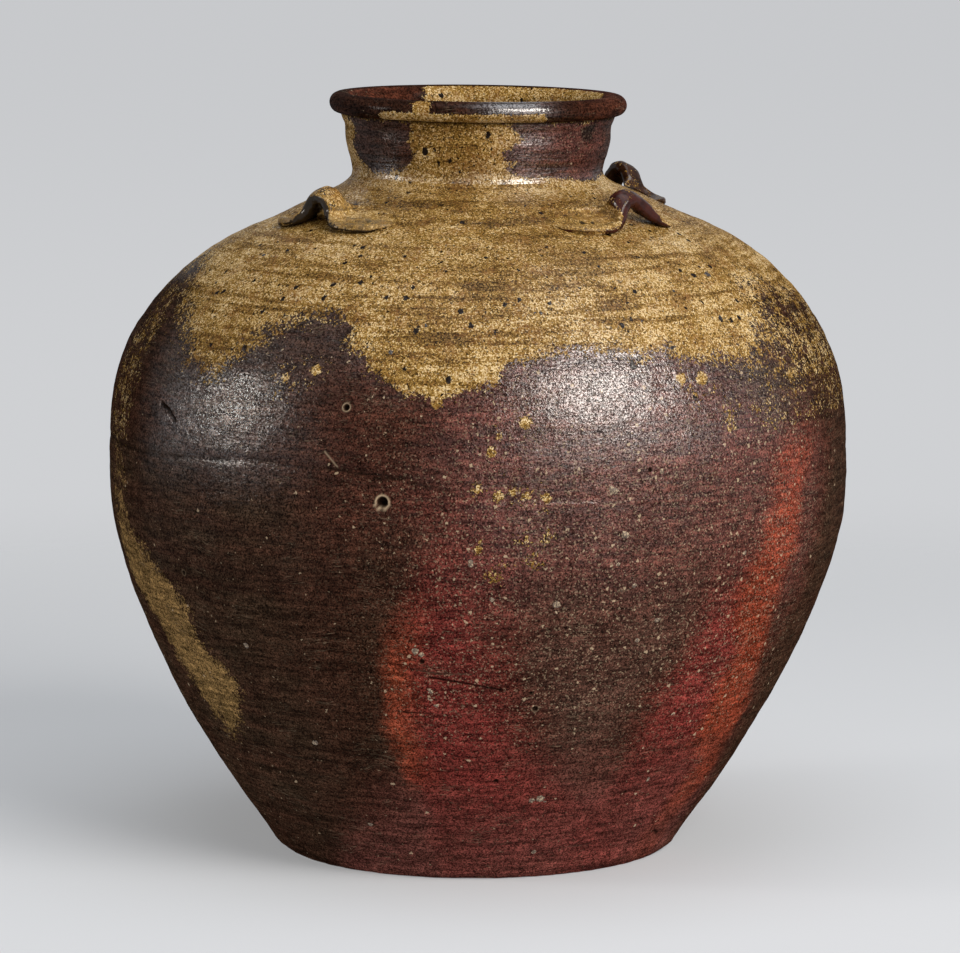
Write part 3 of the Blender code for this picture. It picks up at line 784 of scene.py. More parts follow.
def roughen(mesh, layers, seed):
    """Knock a mesh out of shape by layers of lumps, each of a height and a size."""
    points = read_vectors(mesh, "co")
    rough = sum(height * lumps(points, size, seed + count) for count, (height, size) in enumerate(layers))
    place_vertices(mesh, points + rough[:, None] * read_vectors(mesh, "normal"))


def write_fields(mesh, fields):
    """Store one number, or one colour, for each vertex under each field's name."""
    for name, values in fields.items():
        if np.ndim(values) == 2:
            attribute = mesh.attributes.new(name, "FLOAT_COLOR", "POINT")
            opaque = np.column_stack((values, np.ones(len(values))))
            attribute.data.foreach_set("color", opaque.astype(np.float32).ravel())
        else:
            attribute = mesh.attributes.new(name, "FLOAT", "POINT")
            values = np.broadcast_to(values, len(mesh.vertices))
            attribute.data.foreach_set("value", values.astype(np.float32))


def add_piece(name, mesh, node, material, sharp_degrees=50):
    """Show a finished mesh in place of a CAD node, riding on the jar's body."""
    mesh.materials.append(material)
    mesh.shade_smooth()
    mesh.set_sharp_from_angle(angle=math.radians(sharp_degrees))
    piece = bpy.data.objects.new(name, mesh)
    bpy.context.scene.collection.objects.link(piece)
    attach(piece, "root")
    if node:
        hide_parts(node)
    return piece


def finish_wall(name, bm):
    """Give a turned wall its uneven surface and the fields that its material reads."""
    shape, colours, outline = settings()
    mesh = new_mesh(name, bm)
    at = Surface(read_vectors(mesh, "co"), outline)
    outside = at.radius > (outline.outer(at.heights) + outline.inner(at.heights)) / 2
    cover, distance = at.glaze_cover()
    raised, ridges = relief(at, distance, shape)
    pale, dark = add_scars(at, raised)
    raised = np.where(outside, raised, 0.5 * shape.ridge_height * ridges)
    normal = np.column_stack((at.points[:, :2] / at.radius[:, None], -outline.slope(at.heights)))
    normal /= np.linalg.norm(normal, axis=1)[:, None]
    normal[~outside] *= -1
    write_fields(mesh, {
        "glaze": np.where(outside, cover, smooth(0.30, 0.36, at.heights) * 4 - 2),
        "ridge": ridges,
        "ring": pale,
        # Painted shade in the belly seam, under the rim, in the pits and in the cuts.
        "hollow": dark,
        "ash": np.max([flash_cover(*at.wavered(), *sides) for sides in THIN_ASH], axis=0),
        "sheen": sheen_cover(at),
        "grit": grit_cover(at),
        "clay_colour": clay_colours(at, colours),
    })
    place_vertices(mesh, at.points + raised[:, None] * normal)
    return mesh


class Wiring:
    """Adds nodes to one node tree and links them."""

    def __init__(self, tree):
        self.tree = tree

    def node(self, kind, inputs=None, **options):
        made = self.tree.nodes.new("ShaderNode" + kind)
        for name, value in options.items():
            setattr(made, name, value)
        self.feed(made.inputs, inputs or {})
        return made

    def feed(self, sockets, values):
        """Link or set each named socket; a colour may come without its alpha."""
        for name, value in values.items():
            socket = sockets[name]
            if isinstance(value, bpy.types.NodeSocket):
                self.tree.links.new(value, socket)
            elif socket.type == "RGBA":
                socket.default_value = (*value[:3], 1.0)
            else:
                socket.default_value = value

    def math(self, operation, *values, clamp=False):
        made = self.node("Math", dict(enumerate(values)), operation=operation, use_clamp=clamp)
        return made.outputs[0]

    def times(self, first, second):
        return self.math("MULTIPLY", first, second)

    def line(self, value, slope, start):
        """The value times a slope, plus a start."""
        return self.math("MULTIPLY_ADD", value, slope, start)

    def most(self, first, second):
        return self.math("MAXIMUM", first, second)

    def vectors(self, operation, first, second):
        """Joins two vectors; one that is scaled takes a number as its second."""
        names = (0, "Scale") if operation == "SCALE" else (0, 1)
        return self.node("VectorMath", dict(zip(names, (first, second))), operation=operation).outputs[0]

    def drawn_out(self, vector, share):
        """Stretches a pattern round the jar, so that its height is a share of its length."""
        return self.vectors("MULTIPLY", vector, (share, share, 1.0))

    def between(self, value, low, high, to_low=0.0, to_high=1.0, soft=True):
        made = self.node("MapRange", interpolation_type="SMOOTHSTEP" if soft else "LINEAR")
        self.feed(made.inputs, dict(enumerate((value, low, high, to_low, to_high))))
        return made.outputs[0]

    def noise(self, vector, size, detail=2.0, roughness=0.6):
        made = self.node("TexNoise", {
            "Vector": vector, "Scale": 1.0 / size, "Detail": detail, "Roughness": roughness})
        return made.outputs["Fac"]

    def cells(self, vector, scale):
        """Distance from the nearest cell's middle, and three random numbers of the cell."""
        made = self.node("TexVoronoi", {"Vector": vector, "Scale": scale}).outputs
        return made["Distance"], *self.node("SeparateColor", {"Color": made["Color"]}).outputs

    def mix(self, factor, first, second):
        made = self.node("Mix", data_type="RGBA")
        self.feed(made.inputs, {"Factor": factor, "A": first, "B": second})
        return made.outputs["Result"]

    def bump(self, height, strength=1.0, distance=0.001):
        made = self.node("Bump", {"Strength": strength, "Distance": distance, "Height": height})
        return made.outputs["Normal"]

    def field(self, name, output="Fac"):
        """A field that the mesh carries for each vertex."""
        return self.node("Attribute", attribute_name=name).outputs[output]

    def group(self, name, vector, **values):
        """Places a shared node group, which is made the first time, and feeds its sockets."""
        made = self.node("Group", node_tree=bpy.data.node_groups.get(name) or make_group(name))
        sockets = {socket.capitalize(): value for socket, value in values.items()}
        self.feed(made.inputs, {"Vector": vector, **sockets})
        return made.outputs


def make_group(name):
    """Makes a shared node group: its build gets the input sockets and gives back the outputs."""
    build, defaults = GROUPS[name]
    tree = bpy.data.node_groups.new(name, "ShaderNodeTree")
    for socket, value in {"Vector": None, **defaults}.items():
        kind = "Vector" if socket == "Vector" else "Color" if socket == "Painted" else "Float"
        made = tree.interface.new_socket(name=socket, in_out="INPUT", socket_type="NodeSocket" + kind)
        if value is not None:
            made.default_value = value
    given = tree.nodes.new("NodeGroupInput").outputs
    results = build(Wiring(tree), *(given[socket] for socket in ("Vector", *defaults)))
    for socket in results:
        kind = "Color" if socket == "Colour" else "Float"
        tree.interface.new_socket(name=socket, in_out="OUTPUT", socket_type="NodeSocket" + kind)
    Wiring(tree).feed(tree.nodes.new("NodeGroupOutput").inputs, results)
    return tree


def strewn_specks(wiring, vector, spacing, share, radius, softness):
    """Small round specks strewn over a surface, each of its own size."""
    warp = wiring.node("TexNoise", {"Vector": vector, "Scale": 700.0, "Detail": 2.0}).outputs["Color"]
    moved = wiring.vectors("ADD", vector, wiring.vectors("SCALE", warp, 0.0027))
    distance, chance, size, _ = wiring.cells(moved, wiring.math("DIVIDE", 1.0, spacing))
    edge = wiring.times(radius, wiring.line(wiring.math("POWER", size, 2.0), 0.65, 0.35))
    spot = wiring.between(distance, wiring.math("SUBTRACT", edge, softness), edge, 1.0, 0.0)
    return {"Mask": wiring.times(spot, wiring.math("LESS_THAN", chance, share))}


def fired_grain(wiring, vector, leather, wiped):
    """The grain of fired clay and glaze: tones, pores, and its relief in millimetres."""
    _, crisp, kind, _ = wiring.cells(vector, 1 / 0.0008)
    soft = wiring.noise(vector, 0.0007, 2.0, 0.7)
    fine = wiring.line(wiring.math("SUBTRACT", crisp, 0.5), 0.30, soft)
    coarse = wiring.noise(vector, 0.0055, 3.0)
    wipe = wiring.noise(wiring.drawn_out(vector, 0.10), 0.0020, 3.0)
    height = wiring.times(wiring.noise(vector, 0.0014), leather)
    height = wiring.line(coarse, wiring.times(leather, 1.3), height)
    return {
        "Fine": fine,
        "Coarse": coarse,
        "Wipe": wipe,
        "Pores": wiring.between(fine, 0.56, 0.44),
        "Salt": wiring.between(kind, 0.86, 0.96),
        "Pepper": wiring.between(kind, 0.14, 0.04),
        "Height": wiring.line(wipe, wiped, height),
    }


def throwing_streaks(wiring, vector, ridge):
    """Dark streaks that the glaze leaves along the throwing ridges."""
    long_bands = wiring.noise(wiring.drawn_out(vector, 0.05), 0.0040, 3.0)
    thin_bands = wiring.noise(wiring.drawn_out(vector, 0.08), 0.0018)
    total = wiring.line(thin_bands, 0.5, long_bands)
    total = wiring.line(wiring.noise(vector, 0.0040, 3.0, 0.65), 0.30, total)
    return {"Mask": wiring.between(wiring.line(ridge, 0.16, total), 0.84, 1.12)}


def frayed_coat(wiring, vector, cover):
    """Where a coat lies: whole inside its edge, specks at it, with a dark fringe of crumbs."""
    broad = wiring.times(wiring.noise(vector, 0.0080, 3.0), 0.38)
    level = wiring.line(cover, 0.13, wiring.line(wiring.noise(vector, 0.0015, 2.0, 0.7), 0.62, broad))
    crumbs = wiring.between(wiring.noise(vector, 0.0026), 0.44, 0.56)
    fringe = wiring.times(wiring.between(level, 0.440, 0.465), wiring.between(level, 0.515, 0.490))
    return {"Mask": wiring.between(level, 0.485, 0.515), "Fringe": wiring.times(fringe, crumbs)}


def scraping_lines(wiring, vector):
    """Fine scraping lines that run nearly level round the flank."""
    bent = wiring.noise(vector, 0.060, 1.0, 0.5)
    tilt = wiring.node("CombineXYZ", {"Z": wiring.times(bent, 0.030)}).outputs[0]
    lines = wiring.noise(wiring.drawn_out(wiring.vectors("ADD", vector, tilt), 0.035), 0.0016, 2.0, 0.55)
    edge = wiring.math("ABSOLUTE", wiring.math("SUBTRACT", lines, 0.5))
    where = wiring.between(wiring.noise(vector, 0.022, 2.0, 0.5), 0.52, 0.62)
    return {"Mask": wiring.times(wiring.between(edge, 0.0, 0.010, 1.0, 0.0), where)}


def ash_glaze(wiring, vector, fine, ridge, streaks, pepper, cover):
    """Colour of the ash glaze: pale where thick, umber in the streaks, grainy all over."""
    colours = bpy.context.scene.jar_colours
    streaked = wiring.times(wiring.group("Throwing streaks", vector, ridge=ridge)["Mask"], streaks)
    level = wiring.line(streaked, 0.19, wiring.line(fine, 1.05, -0.055))
    level = wiring.line(wiring.between(wiring.noise(vector, 0.024, 3.0), 0.38, 0.64), -0.115, level)
    level = wiring.line(wiring.between(cover, 12.0, 2.0), -0.076, level)
    grains = wiring.node("ValToRGB", {"Fac": level})
    ramp = grains.color_ramp.elements
    ramp[0].position, ramp[0].color = 0.20, (*colours.cream, 1.0)
    ramp[1].position, ramp[1].color = 0.86, (*colours.iron, 1.0)
    for place, tone in ((0.31, colours.pale_ochre), (0.45, colours.ochre), (0.62, colours.umber)):
        ramp.new(place).color = (*tone, 1.0)
    blush = wiring.between(wiring.noise(vector, 0.0024, 3.0), 0.54, 0.64)
    broad_blush = wiring.between(wiring.noise(vector, 0.013, 3.0), 0.50, 0.66)
    blush = wiring.line(broad_blush, 0.30, wiring.times(blush, 0.40))
    colour = wiring.mix(blush, grains.outputs["Color"], colours.amber)
    low = wiring.vectors("MULTIPLY", vector, (1.0, 1.0, 0.7))
    big = wiring.group("Strewn specks", low, spacing=0.0066, share=0.75, radius=0.27, softness=0.02)["Mask"]
    small = wiring.group("Strewn specks", vector, spacing=0.0028, share=0.75, radius=0.31, softness=0.05)
    iron = wiring.most(big, wiring.times(small["Mask"], 0.75))
    iron = wiring.most(iron, wiring.times(pepper, 0.75))
    return {"Colour": wiring.mix(iron, colour, colours.iron), "Iron": iron}


def bare_clay(wiring, vector, painted, ash, fine, wipe, coarse, specks, salt, pepper, ridge):
    """Colour of the bare clay: the painted flashes, mottled, with painted shade along the throwing ridges and
    specks of feldspar.
    """
    colours = bpy.context.scene.jar_colours
    mottled = wiring.between(coarse, 0.35, 0.66, 1.30, 0.68, False)
    grained = wiring.between(fine, 0.31, 0.69, 1.95, 0.15, False)
    wiped = wiring.between(wipe, 0.35, 0.65, 0.55, 1.45, False)
    # Lighter on the throwing ridges and darker between them: painted shade of the ridges' relief.
    bands = wiring.between(ridge, -0.7, 0.7, 0.82, 1.18, False)
    tone = wiring.times(wiring.times(mottled, grained), wiring.times(wiped, bands))
    colour = wiring.vectors("SCALE", painted, tone)
    colour = wiring.mix(wiring.times(salt, wiring.times(specks, 0.34)), colour, colours.stone)
    colour = wiring.mix(wiring.times(pepper, 0.7), colour, colours.iron)
    thin = wiring.group("Frayed coat", vector, cover=wiring.line(ash, 3.2, -2.1))["Mask"]
    colour = wiring.mix(wiring.times(thin, 0.85), colour, wiring.vectors("SCALE", colours.thin_ash, tone))
    coarse_grit = wiring.group(
        "Strewn specks", vector, spacing=0.0044, share=specks, radius=0.27, softness=0.06)["Mask"]
    fine_grit = wiring.group(
        "Strewn specks", vector, spacing=0.0021, share=wiring.times(specks, 0.9), radius=0.30,
        softness=0.12)["Mask"]
    grit = wiring.most(coarse_grit, wiring.times(fine_grit, 0.75))
    colour = wiring.mix(wiring.times(grit, 0.7), colour, colours.stone)
    lines = wiring.group("Scraping lines", vector)["Mask"]
    colour = wiring.mix(wiring.times(lines, 0.30), colour, colours.stone)
    return {"Colour": colour, "Lines": lines, "Grit": grit}


# Shared node groups by name: what builds each, and the defaults of its inputs after Vector.
GROUPS = {
    "Strewn specks": (strewn_specks, {"Spacing": 0.004, "Share": 0.5, "Radius": 0.3, "Softness": 0.08}),
    "Fired grain": (fired_grain, {"Leather": 0.3, "Wiped": 0.1}),
    "Throwing streaks": (throwing_streaks, {"Ridge": 0.0}),
    "Frayed coat": (frayed_coat, {"Cover": 0.0}),
    "Scraping lines": (scraping_lines, {}),
    "Ash glaze": (ash_glaze, {"Fine": 0.5, "Ridge": 0.0, "Streaks": 1.0, "Pepper": 0.0, "Cover": 20.0}),
    "Bare clay": (bare_clay, {
        "Painted": None, "Ash": 0.0, "Fine": 0.5, "Wipe": 0.5, "Coarse": 0.5, "Specks": 0.5, "Salt": 0.0,
        "Pepper": 0.0, "Ridge": 0.0}),
}


def new_material(name):
    """A new material, its wiring, its shader's sockets, and places on the piece itself."""
    material = bpy.data.materials.new(name)
    material.use_nodes = True
    wiring = Wiring(material.node_tree)
    shader = material.node_tree.nodes["Principled BSDF"].inputs
    return material, wiring, shader, wiring.node("TexCoord").outputs["Object"]


def fired_material(name, roughness, leather, wiped, specks, streaks=1.0):
    """Material of the jar's wall: dark clay with flashes, under a coat of ash glaze."""
    colours = bpy.context.scene.jar_colours
    material, wiring, shader, vector = new_material(name)
    grain = wiring.group("Fired grain", vector, leather=leather, wiped=wiped)
    cover, ridge, hollow = (wiring.field(field) for field in ("glaze", "ridge", "hollow"))
    frayed = wiring.group("Frayed coat", vector, cover=cover)
    coat = frayed["Mask"]
    bare = wiring.group(
        "Bare clay", vector, painted=wiring.field("clay_colour", "Color"), ash=wiring.field("ash"),
        fine=grain["Fine"], coarse=grain["Coarse"], wipe=grain["Wipe"], salt=grain["Salt"],
        pepper=grain["Pepper"], ridge=ridge, specks=wiring.times(wiring.field("grit"), specks))
    glaze = wiring.group(
        "Ash glaze", vector, fine=grain["Fine"], ridge=ridge, streaks=streaks, pepper=grain["Pepper"],
        cover=cover)
    colour = wiring.mix(coat, bare["Colour"], glaze["Colour"])
    colour = wiring.mix(wiring.times(frayed["Fringe"], 0.8), colour, colours.iron)
    colour = wiring.mix(wiring.times(wiring.field("ring"), 0.8), colour, colours.stone)
    rough = wiring.between(grain["Coarse"], 0.3, 0.7, roughness - 0.08, roughness + 0.08, False)
    height = wiring.line(coat, 0.12, grain["Height"])
    height = wiring.line(bare["Lines"], -0.08, height)
    bump = wiring.bump(wiring.line(bare["Grit"], 0.10, height))
    pores = wiring.line(grain["Pores"], 0.85, 0.15)
    shine = wiring.math("SUBTRACT", wiring.line(coat, -0.62, 1.0), hollow)
    sheen = wiring.times(wiring.field("sheen"), shine)
    wiring.feed(shader, {
        # Painted shade darkens the belly seam, the pits, the cuts and the top of the neck under the rim.
        "Base Color": wiring.mix(wiring.times(hollow, 0.9), colour, colours.iron),
        "Roughness": wiring.line(glaze["Iron"], -0.15, rough),
        "Normal": bump,
        "Specular IOR Level": 0.0,
        "Coat Weight": wiring.math("MULTIPLY", sheen, pores, clamp=True),
        "Coat Normal": bump,
        "Coat Roughness": roughness,
        "Coat IOR": 2.15,
    })
    return material


def lug_material(name):
    """Material of the lugs: pale glaze on the pads, dark and glassy along the edges."""
    colours = bpy.context.scene.jar_colours
    material, wiring, shader, vector = new_material(name)
    grain = wiring.group("Fired grain", vector, leather=0.10, wiped=0.03)
    glaze = wiring.group("Ash glaze", vector, fine=grain["Fine"], streaks=1.2)
    pad, edge, red = (wiring.field(field) for field in ("pad", "edge", "red"))
    coat = wiring.group("Frayed coat", vector, cover=wiring.line(pad, 3.6, -1.8))["Mask"]
    worn = wiring.group("Frayed coat", vector, cover=wiring.line(edge, 3.2, -1.7))
    tone = wiring.between(grain["Coarse"], 0.35, 0.65, 0.55, 1.5, False)
    shaded = wiring.vectors("SCALE", wiring.mix(red, LUG_CLAY, LUG_RED_CLAY), tone)
    thick = wiring.times(wiring.between(pad, 0.6, 1.0), wiring.between(red, 0.0, 0.4, 0.24, 0.05))
    mottle = wiring.between(grain["Coarse"], 0.40, 0.60, 1.0, 0.25)
    pale = wiring.mix(thick, glaze["Colour"], wiring.mix(mottle, colours.pale_ochre, colours.cream))
    bare = wiring.most(wiring.most(worn["Mask"], worn["Fringe"]), wiring.math("SUBTRACT", 1.0, coat))
    bump = wiring.bump(grain["Height"])
    wiring.feed(shader, {
        "Base Color": wiring.mix(bare, pale, shaded),
        "Roughness": wiring.line(bare, -0.10, 0.32),
        "Normal": bump,
        "Specular IOR Level": 0.0,
        "Coat Weight": wiring.line(bare, 0.20, 0.26),
        "Coat Normal": bump,
        "Coat Roughness": 0.14,
    })
    return material


def bit_material(name, noise, tones, edges, roughness, bump):
    """Material of small bits: two tones in patches, over a broken or a glassy skin."""
    material, wiring, shader, vector = new_material(name)
    tone = wiring.noise(vector, *noise)
    wiring.feed(shader, {
        "Base Color": wiring.mix(wiring.between(tone, *edges), *tones),
        "Roughness": wiring.between(tone, 0.3, 0.7, *roughness, False),
        "Normal": wiring.bump(tone, *bump),
    })
    return material


class JAR_OT_foot(bpy.types.Operator):
    """Make the slab that the jar stands on"""

    bl_idname = "jar.make_foot"
    bl_label = "Foot slab"

    def execute(self, context):
        shape, _, outline = settings()
        edge, radius = shape.foot_edge, shape.foot_radius
        rings = [(radius * share, 0.0) for share in (0.0, 0.4, 0.7, 0.85)]
        corner = [(radius - edge + edge * math.sin(angle), edge - edge * math.cos(angle))
                  for angle in np.linspace(0.0, math.pi / 2 - 0.45, 6)]
        side = [(outline.outer(height), height) for height in outline.between(edge, SLAB_TOP, 8)]
        top = [(radius * share, SLAB_TOP) for share in (0.9, 0.6, 0.0)]
        bm = spin_outline(rings + corner + side + top, NECK_CUTS, closed=False)
        material = fired_material("bare_foot_clay", 0.50, leather=0.2, wiped=0.1, specks=0.5)
        add_piece("foot_slab", finish_wall("foot_slab", bm), "base_disc", material)
        return {"FINISHED"}


def make_wall(name, node, material, low, high, outer_rings, inner_rings, cuts=WALL_CUTS):
    """Turn one stretch of the jar's wall and finish its surface."""
    outline = settings()[2]
    points = [(outline.outer(height), height) for height in outline.between(low, high, outer_rings)]
    points += [(outline.inner(height), height) for height in outline.between(low, high, inner_rings)[::-1]]
    bm = spin_outline(points, cuts)
    places = [(pit[0], pit[1]) for pit in PITS if low < pit[1] < high]
    for run, *_ in CUTS:
        for start, end in zip(np.array(run), np.array(run[1:])):
            places += [start + share * (end - start) for share in np.linspace(0, 1, 5)]
    refine_near(bm, places, outline)
    add_piece(name, finish_wall(name, bm), node, material)


class JAR_OT_lower_body(bpy.types.Operator):
    """Make the flank, from the slab up to the seam at the belly"""

    bl_idname = "jar.make_lower_body"
    bl_label = "Lower body"

    def execute(self, context):
        material = fired_material("flashed_clay", 0.19, leather=0.30, wiped=0.26, specks=0.85)
        make_wall("lower_body", "lower_wall", material, SLAB_TOP, BELLY_JOIN, 112, 9)
        return {"FINISHED"}


class JAR_OT_shoulder(bpy.types.Operator):
    """Make the shoulder, from the seam up to the foot of the neck"""

    bl_idname = "jar.make_shoulder"
    bl_label = "Shoulder"

    def execute(self, context):
        material = fired_material("runny_ash_glaze", 0.19, leather=0.32, wiped=0.20, specks=0.85)
        make_wall("shoulder", "shoulder_wall", material, BELLY_JOIN, COLLAR_JOIN, 116, 10)
        return {"FINISHED"}


class JAR_OT_neck(bpy.types.Operator):
    """Make the neck between the shoulder and the rim"""

    bl_idname = "jar.make_neck"
    bl_label = "Neck"

    def execute(self, context):
        material = fired_material("neck_glaze", 0.20, leather=0.16, wiped=0.60, specks=0.5, streaks=0.7)
        make_wall("neck", "neck_collar", material, COLLAR_JOIN, RIM_JOIN, 46, 36, NECK_CUTS)
        return {"FINISHED"}


class JAR_OT_rim(bpy.types.Operator):
    """Make the rolled rim round the mouth"""

    bl_idname = "jar.make_rim"
    bl_label = "Mouth rim"

    def execute(self, context):
        outline = settings()[2]
        roll = (JAR_HEIGHT - RIM_JOIN) / 2
        centre = RIM_RADIUS - roll
        mouth = float(outline.inner(RIM_JOIN))
        points = [(mouth, RIM_JOIN), (outline.outer(RIM_JOIN), RIM_JOIN)]
        for angle in np.linspace(-math.pi / 2, math.pi / 2, 34):
            points.append((centre + roll * math.cos(angle), RIM_JOIN + roll + roll * math.sin(angle)))
        crest = Vector((centre - 0.0022, JAR_HEIGHT))
        ease = Vector((mouth + 0.0006, JAR_HEIGHT - 0.0008))
        bore = Vector((mouth, RIM_JOIN + roll * 0.6))
        for share in np.linspace(0.0, 1.0, 14):
            points.append(crest.lerp(ease, share).lerp(ease.lerp(bore, share), share))
        mesh = new_mesh("mouth_roll", spin_outline(points, NECK_CUTS))
        self.finish(Surface(read_vectors(mesh, "co"), outline), mesh)
        material = fired_material("rim_glaze", 0.17, leather=0.14, wiped=0.12, specks=0.15, streaks=0.4)
        add_piece("mouth_roll", mesh, "mouth_rim", material)
        return {"FINISHED"}

    def finish(self, at, mesh):
        """Roughen the roll, and give it glaze under its front edge and inside at the back."""
        points, degrees, heights, radius = at.points, at.degrees, at.heights, at.radius
        aside = np.abs(degrees)
        under = smooth(0.4165, 0.4105, heights) * smooth(0.0735, 0.076, radius)
        front = window(degrees, (-44.0, -38.0), (30.0, 24.0))
        inner = smooth(0.0740, 0.0700, radius)
        back = smooth(95.0, 110.0, aside) * smooth(-148.0, -160.0, np.where(degrees > 0, -180.0, degrees))
        crest_patch = hump(degrees, -22.0, 4.0) * smooth(0.0765, 0.079, radius)
        cover = np.maximum(np.maximum(under * front, inner * back), crest_patch)
        red = window(degrees, (20.0, 70.0), (150.0, 110.0))
        rear = inner * window(degrees, (-80.0, -95.0), (-160.0, -140.0))
        tone = np.tile(np.array(RIM_CLAY), (len(points), 1))
        tone += np.maximum(0.5 * red, 0.8 * rear)[:, None] * (np.array(RIM_RED_CLAY) - tone)
        write_fields(mesh, {
            "glaze": cover * 4.4 - 2.0,
            "ridge": lumps(points, 0.01, 33),
            "ring": 0.0,
            "hollow": 0.0,
            "ash": 0.0,
            "sheen": 0.05 + 2.2 * hump(degrees, 15.0, 11.0),
            "grit": 0.3,
            "clay_colour": tone,
        })
        uneven = 0.00035 * lumps(points, 0.030, 31) + 0.00012 * lumps(points, 0.006, 32)
        uneven *= smooth(RIM_JOIN, RIM_JOIN + 0.002, heights)
        out = np.column_stack((points[:, :2] / radius[:, None], np.zeros(len(points))))
        place_vertices(mesh, points + uneven[:, None] * out)


def lug_section(leg, travel, share, side, strap_coat, pad_coat):
    """One closed section of a lug: place along, down the slope and above the wall, and coats."""
    columns = [list(zip(travel, column)) for column in zip(*leg)]
    along, above, down, width, thickness, pressed = (float(on_curve(column, share)) for column in columns)
    ahead, behind = (
        [float(on_curve(column, near)) for column in columns[:2]]
        for near in (min(share + LUG_LEAN_REACH, 1.0), max(share - LUG_LEAN_REACH, 0.0)))
    lean = math.atan2(behind[1] - ahead[1], ahead[0] - behind[0]) if share > 0 else 0.0
    flat_end = float(smooth(0.05, 0.7, pressed))
    far_end = max(0.5 * pressed, float(smooth(0.45, 0.65, share)))
    points = []
    for corner in range(LUG_SECTION_STEPS):
        angle = math.tau * corner / LUG_SECTION_STEPS
        across = math.copysign(abs(math.cos(angle)) ** 0.85, math.cos(angle))
        over = math.sin(angle)
        round_side = math.copysign(abs(over) ** 0.62, over)
        lip = float(smooth(0.10, 0.92, across)) ** 1.3
        floor = LUG_PAD_FLOOR_SHARE * (1 - 0.45 * float(smooth(0.0, -1.0, across)))
        face = floor + (1 - floor) * lip
        lift = 0.5 * thickness * round_side
        if over > 0:
            lift = thickness * (round_side * (0.5 + (face - 0.5) * pressed) - 0.5 * pressed)
        pressed_low = pressed * float(smooth(0.2, -0.5, across))
        near_top = max(float(smooth(-0.25, 0.15, over)), pressed_low)
        rim = float(smooth(0.84, 0.97, across)) * (1 - 0.9 * far_end * near_top)
        points.append((
            side * (along + lift * math.sin(lean)),
            width / 2 * across + down,
            above + lift * math.cos(lean),
            near_top * (strap_coat + (pad_coat - strap_coat) * flat_end),
            max(rim, (1 - near_top) * (1 - pressed_low)),
        ))
    return points


def leg_sections(leg, side, coats):
    """The sections of half a lug, spaced evenly along the strap from its crown to its tip."""
    runs = [math.dist(row[:2], following[:2]) for row, following in zip(leg, leg[1:])]
    travel = [sum(runs[:count]) / sum(runs) for count in range(len(leg))]
    return [lug_section(leg, travel, station / LUG_HALF_STATIONS, side, *coats)
            for station in range(LUG_HALF_STATIONS + 1)]


def make_lug_mesh(name, azimuth, first_side, sections, ring_radius):
    """Loft one strap lug over the shoulder, from the tip of one pad to the tip of the other."""
    shape, _, outline = settings()
    heights = np.linspace(COLLAR_JOIN, shape.belly_height, LUG_SEAT_SAMPLES)
    seat_rise = float(outline.rise(heights[np.argmax(outline.outer(heights) >= ring_radius)]))
    bm = bmesh.new()
    coat_layer = bm.verts.layers.float.new("pad")
    edge_layer = bm.verts.layers.float.new("edge")
    loops = []
    for section in sections:
        ring = bmesh.ops.create_circle(bm, segments=LUG_SECTION_STEPS, radius=ring_radius)
        for vert, (along, down, above, coat, edge) in zip(ring["verts"], section):
            height = float(np.interp(seat_rise - down, outline.rises, outline.heights))
            normal = Vector((1.0, -float(outline.slope(height)))).normalized()
            place = Vector((float(outline.outer(height)), height)) + normal * (above - LUG_SEAT_DEPTH)
            turned = math.radians(azimuth) + first_side * along / ring_radius
            vert.co = (place.x * math.sin(turned), -place.x * math.cos(turned), place.y)
            vert[coat_layer] = coat
            vert[edge_layer] = edge
        loops.append(list(dict.fromkeys(edge for vert in ring["verts"] for edge in vert.link_edges)))
    for loop, following in zip(loops, loops[1:]):
        bmesh.ops.bridge_loops(bm, edges=loop + following)
    bmesh.ops.holes_fill(bm, edges=loops[0] + loops[-1], sides=0)
    bmesh.ops.recalc_face_normals(bm, faces=bm.faces)
    return new_mesh(name, bm)


class JAR_OT_lugs(bpy.types.Operator):
    """Make the strap lugs round the shoulder"""

    bl_idname = "jar.make_lugs"
    bl_label = "Lugs"

    def execute(self, context):
        material = lug_material("lug_glaze")
        for node, (azimuth, side, first_leg, other_leg, distance_share, *coats, redness) in LUGS.items():
            name = node.replace("lug", "strap")
            radius = context.scene.jar_shape.neck_radius + LUG_NECK_DISTANCE * distance_share
            sections = leg_sections(other_leg, -1, coats)[:0:-1] + leg_sections(first_leg, 1, coats)
            mesh = make_lug_mesh(name, azimuth, side, sections, radius)
            write_fields(mesh, {"red": redness})
            roughen(mesh, ((0.0005, 0.009), (0.00025, 0.0035)), 41)
            add_piece(name, mesh, node, material, 70)
        return {"FINISHED"}


def add_bits(name, bits, flatness, sink, material, seed):
    """Scatter rounded bits over the wall, each pressed into it and knocked out of shape."""
    outline = settings()[2]
    bm = bmesh.new()
    for degrees, height, size in bits:
        centre, normal = outline.point(degrees, height)
        made = bmesh.ops.create_icosphere(bm, subdivisions=3, radius=size / 2)
        turn = normal.to_track_quat("Z", "X").to_matrix().to_4x4()
        bmesh.ops.scale(bm, vec=(1.0, 1.0, flatness), verts=made["verts"])
        for vert in made["verts"]:
            vert.co = turn @ vert.co + centre - normal * size * sink
    mesh = new_mesh(name, bm)
    roughen(mesh, ((0.0005, 0.0020), (0.0003, 0.0009)), seed)
    add_piece(name, mesh, None, material, 80)


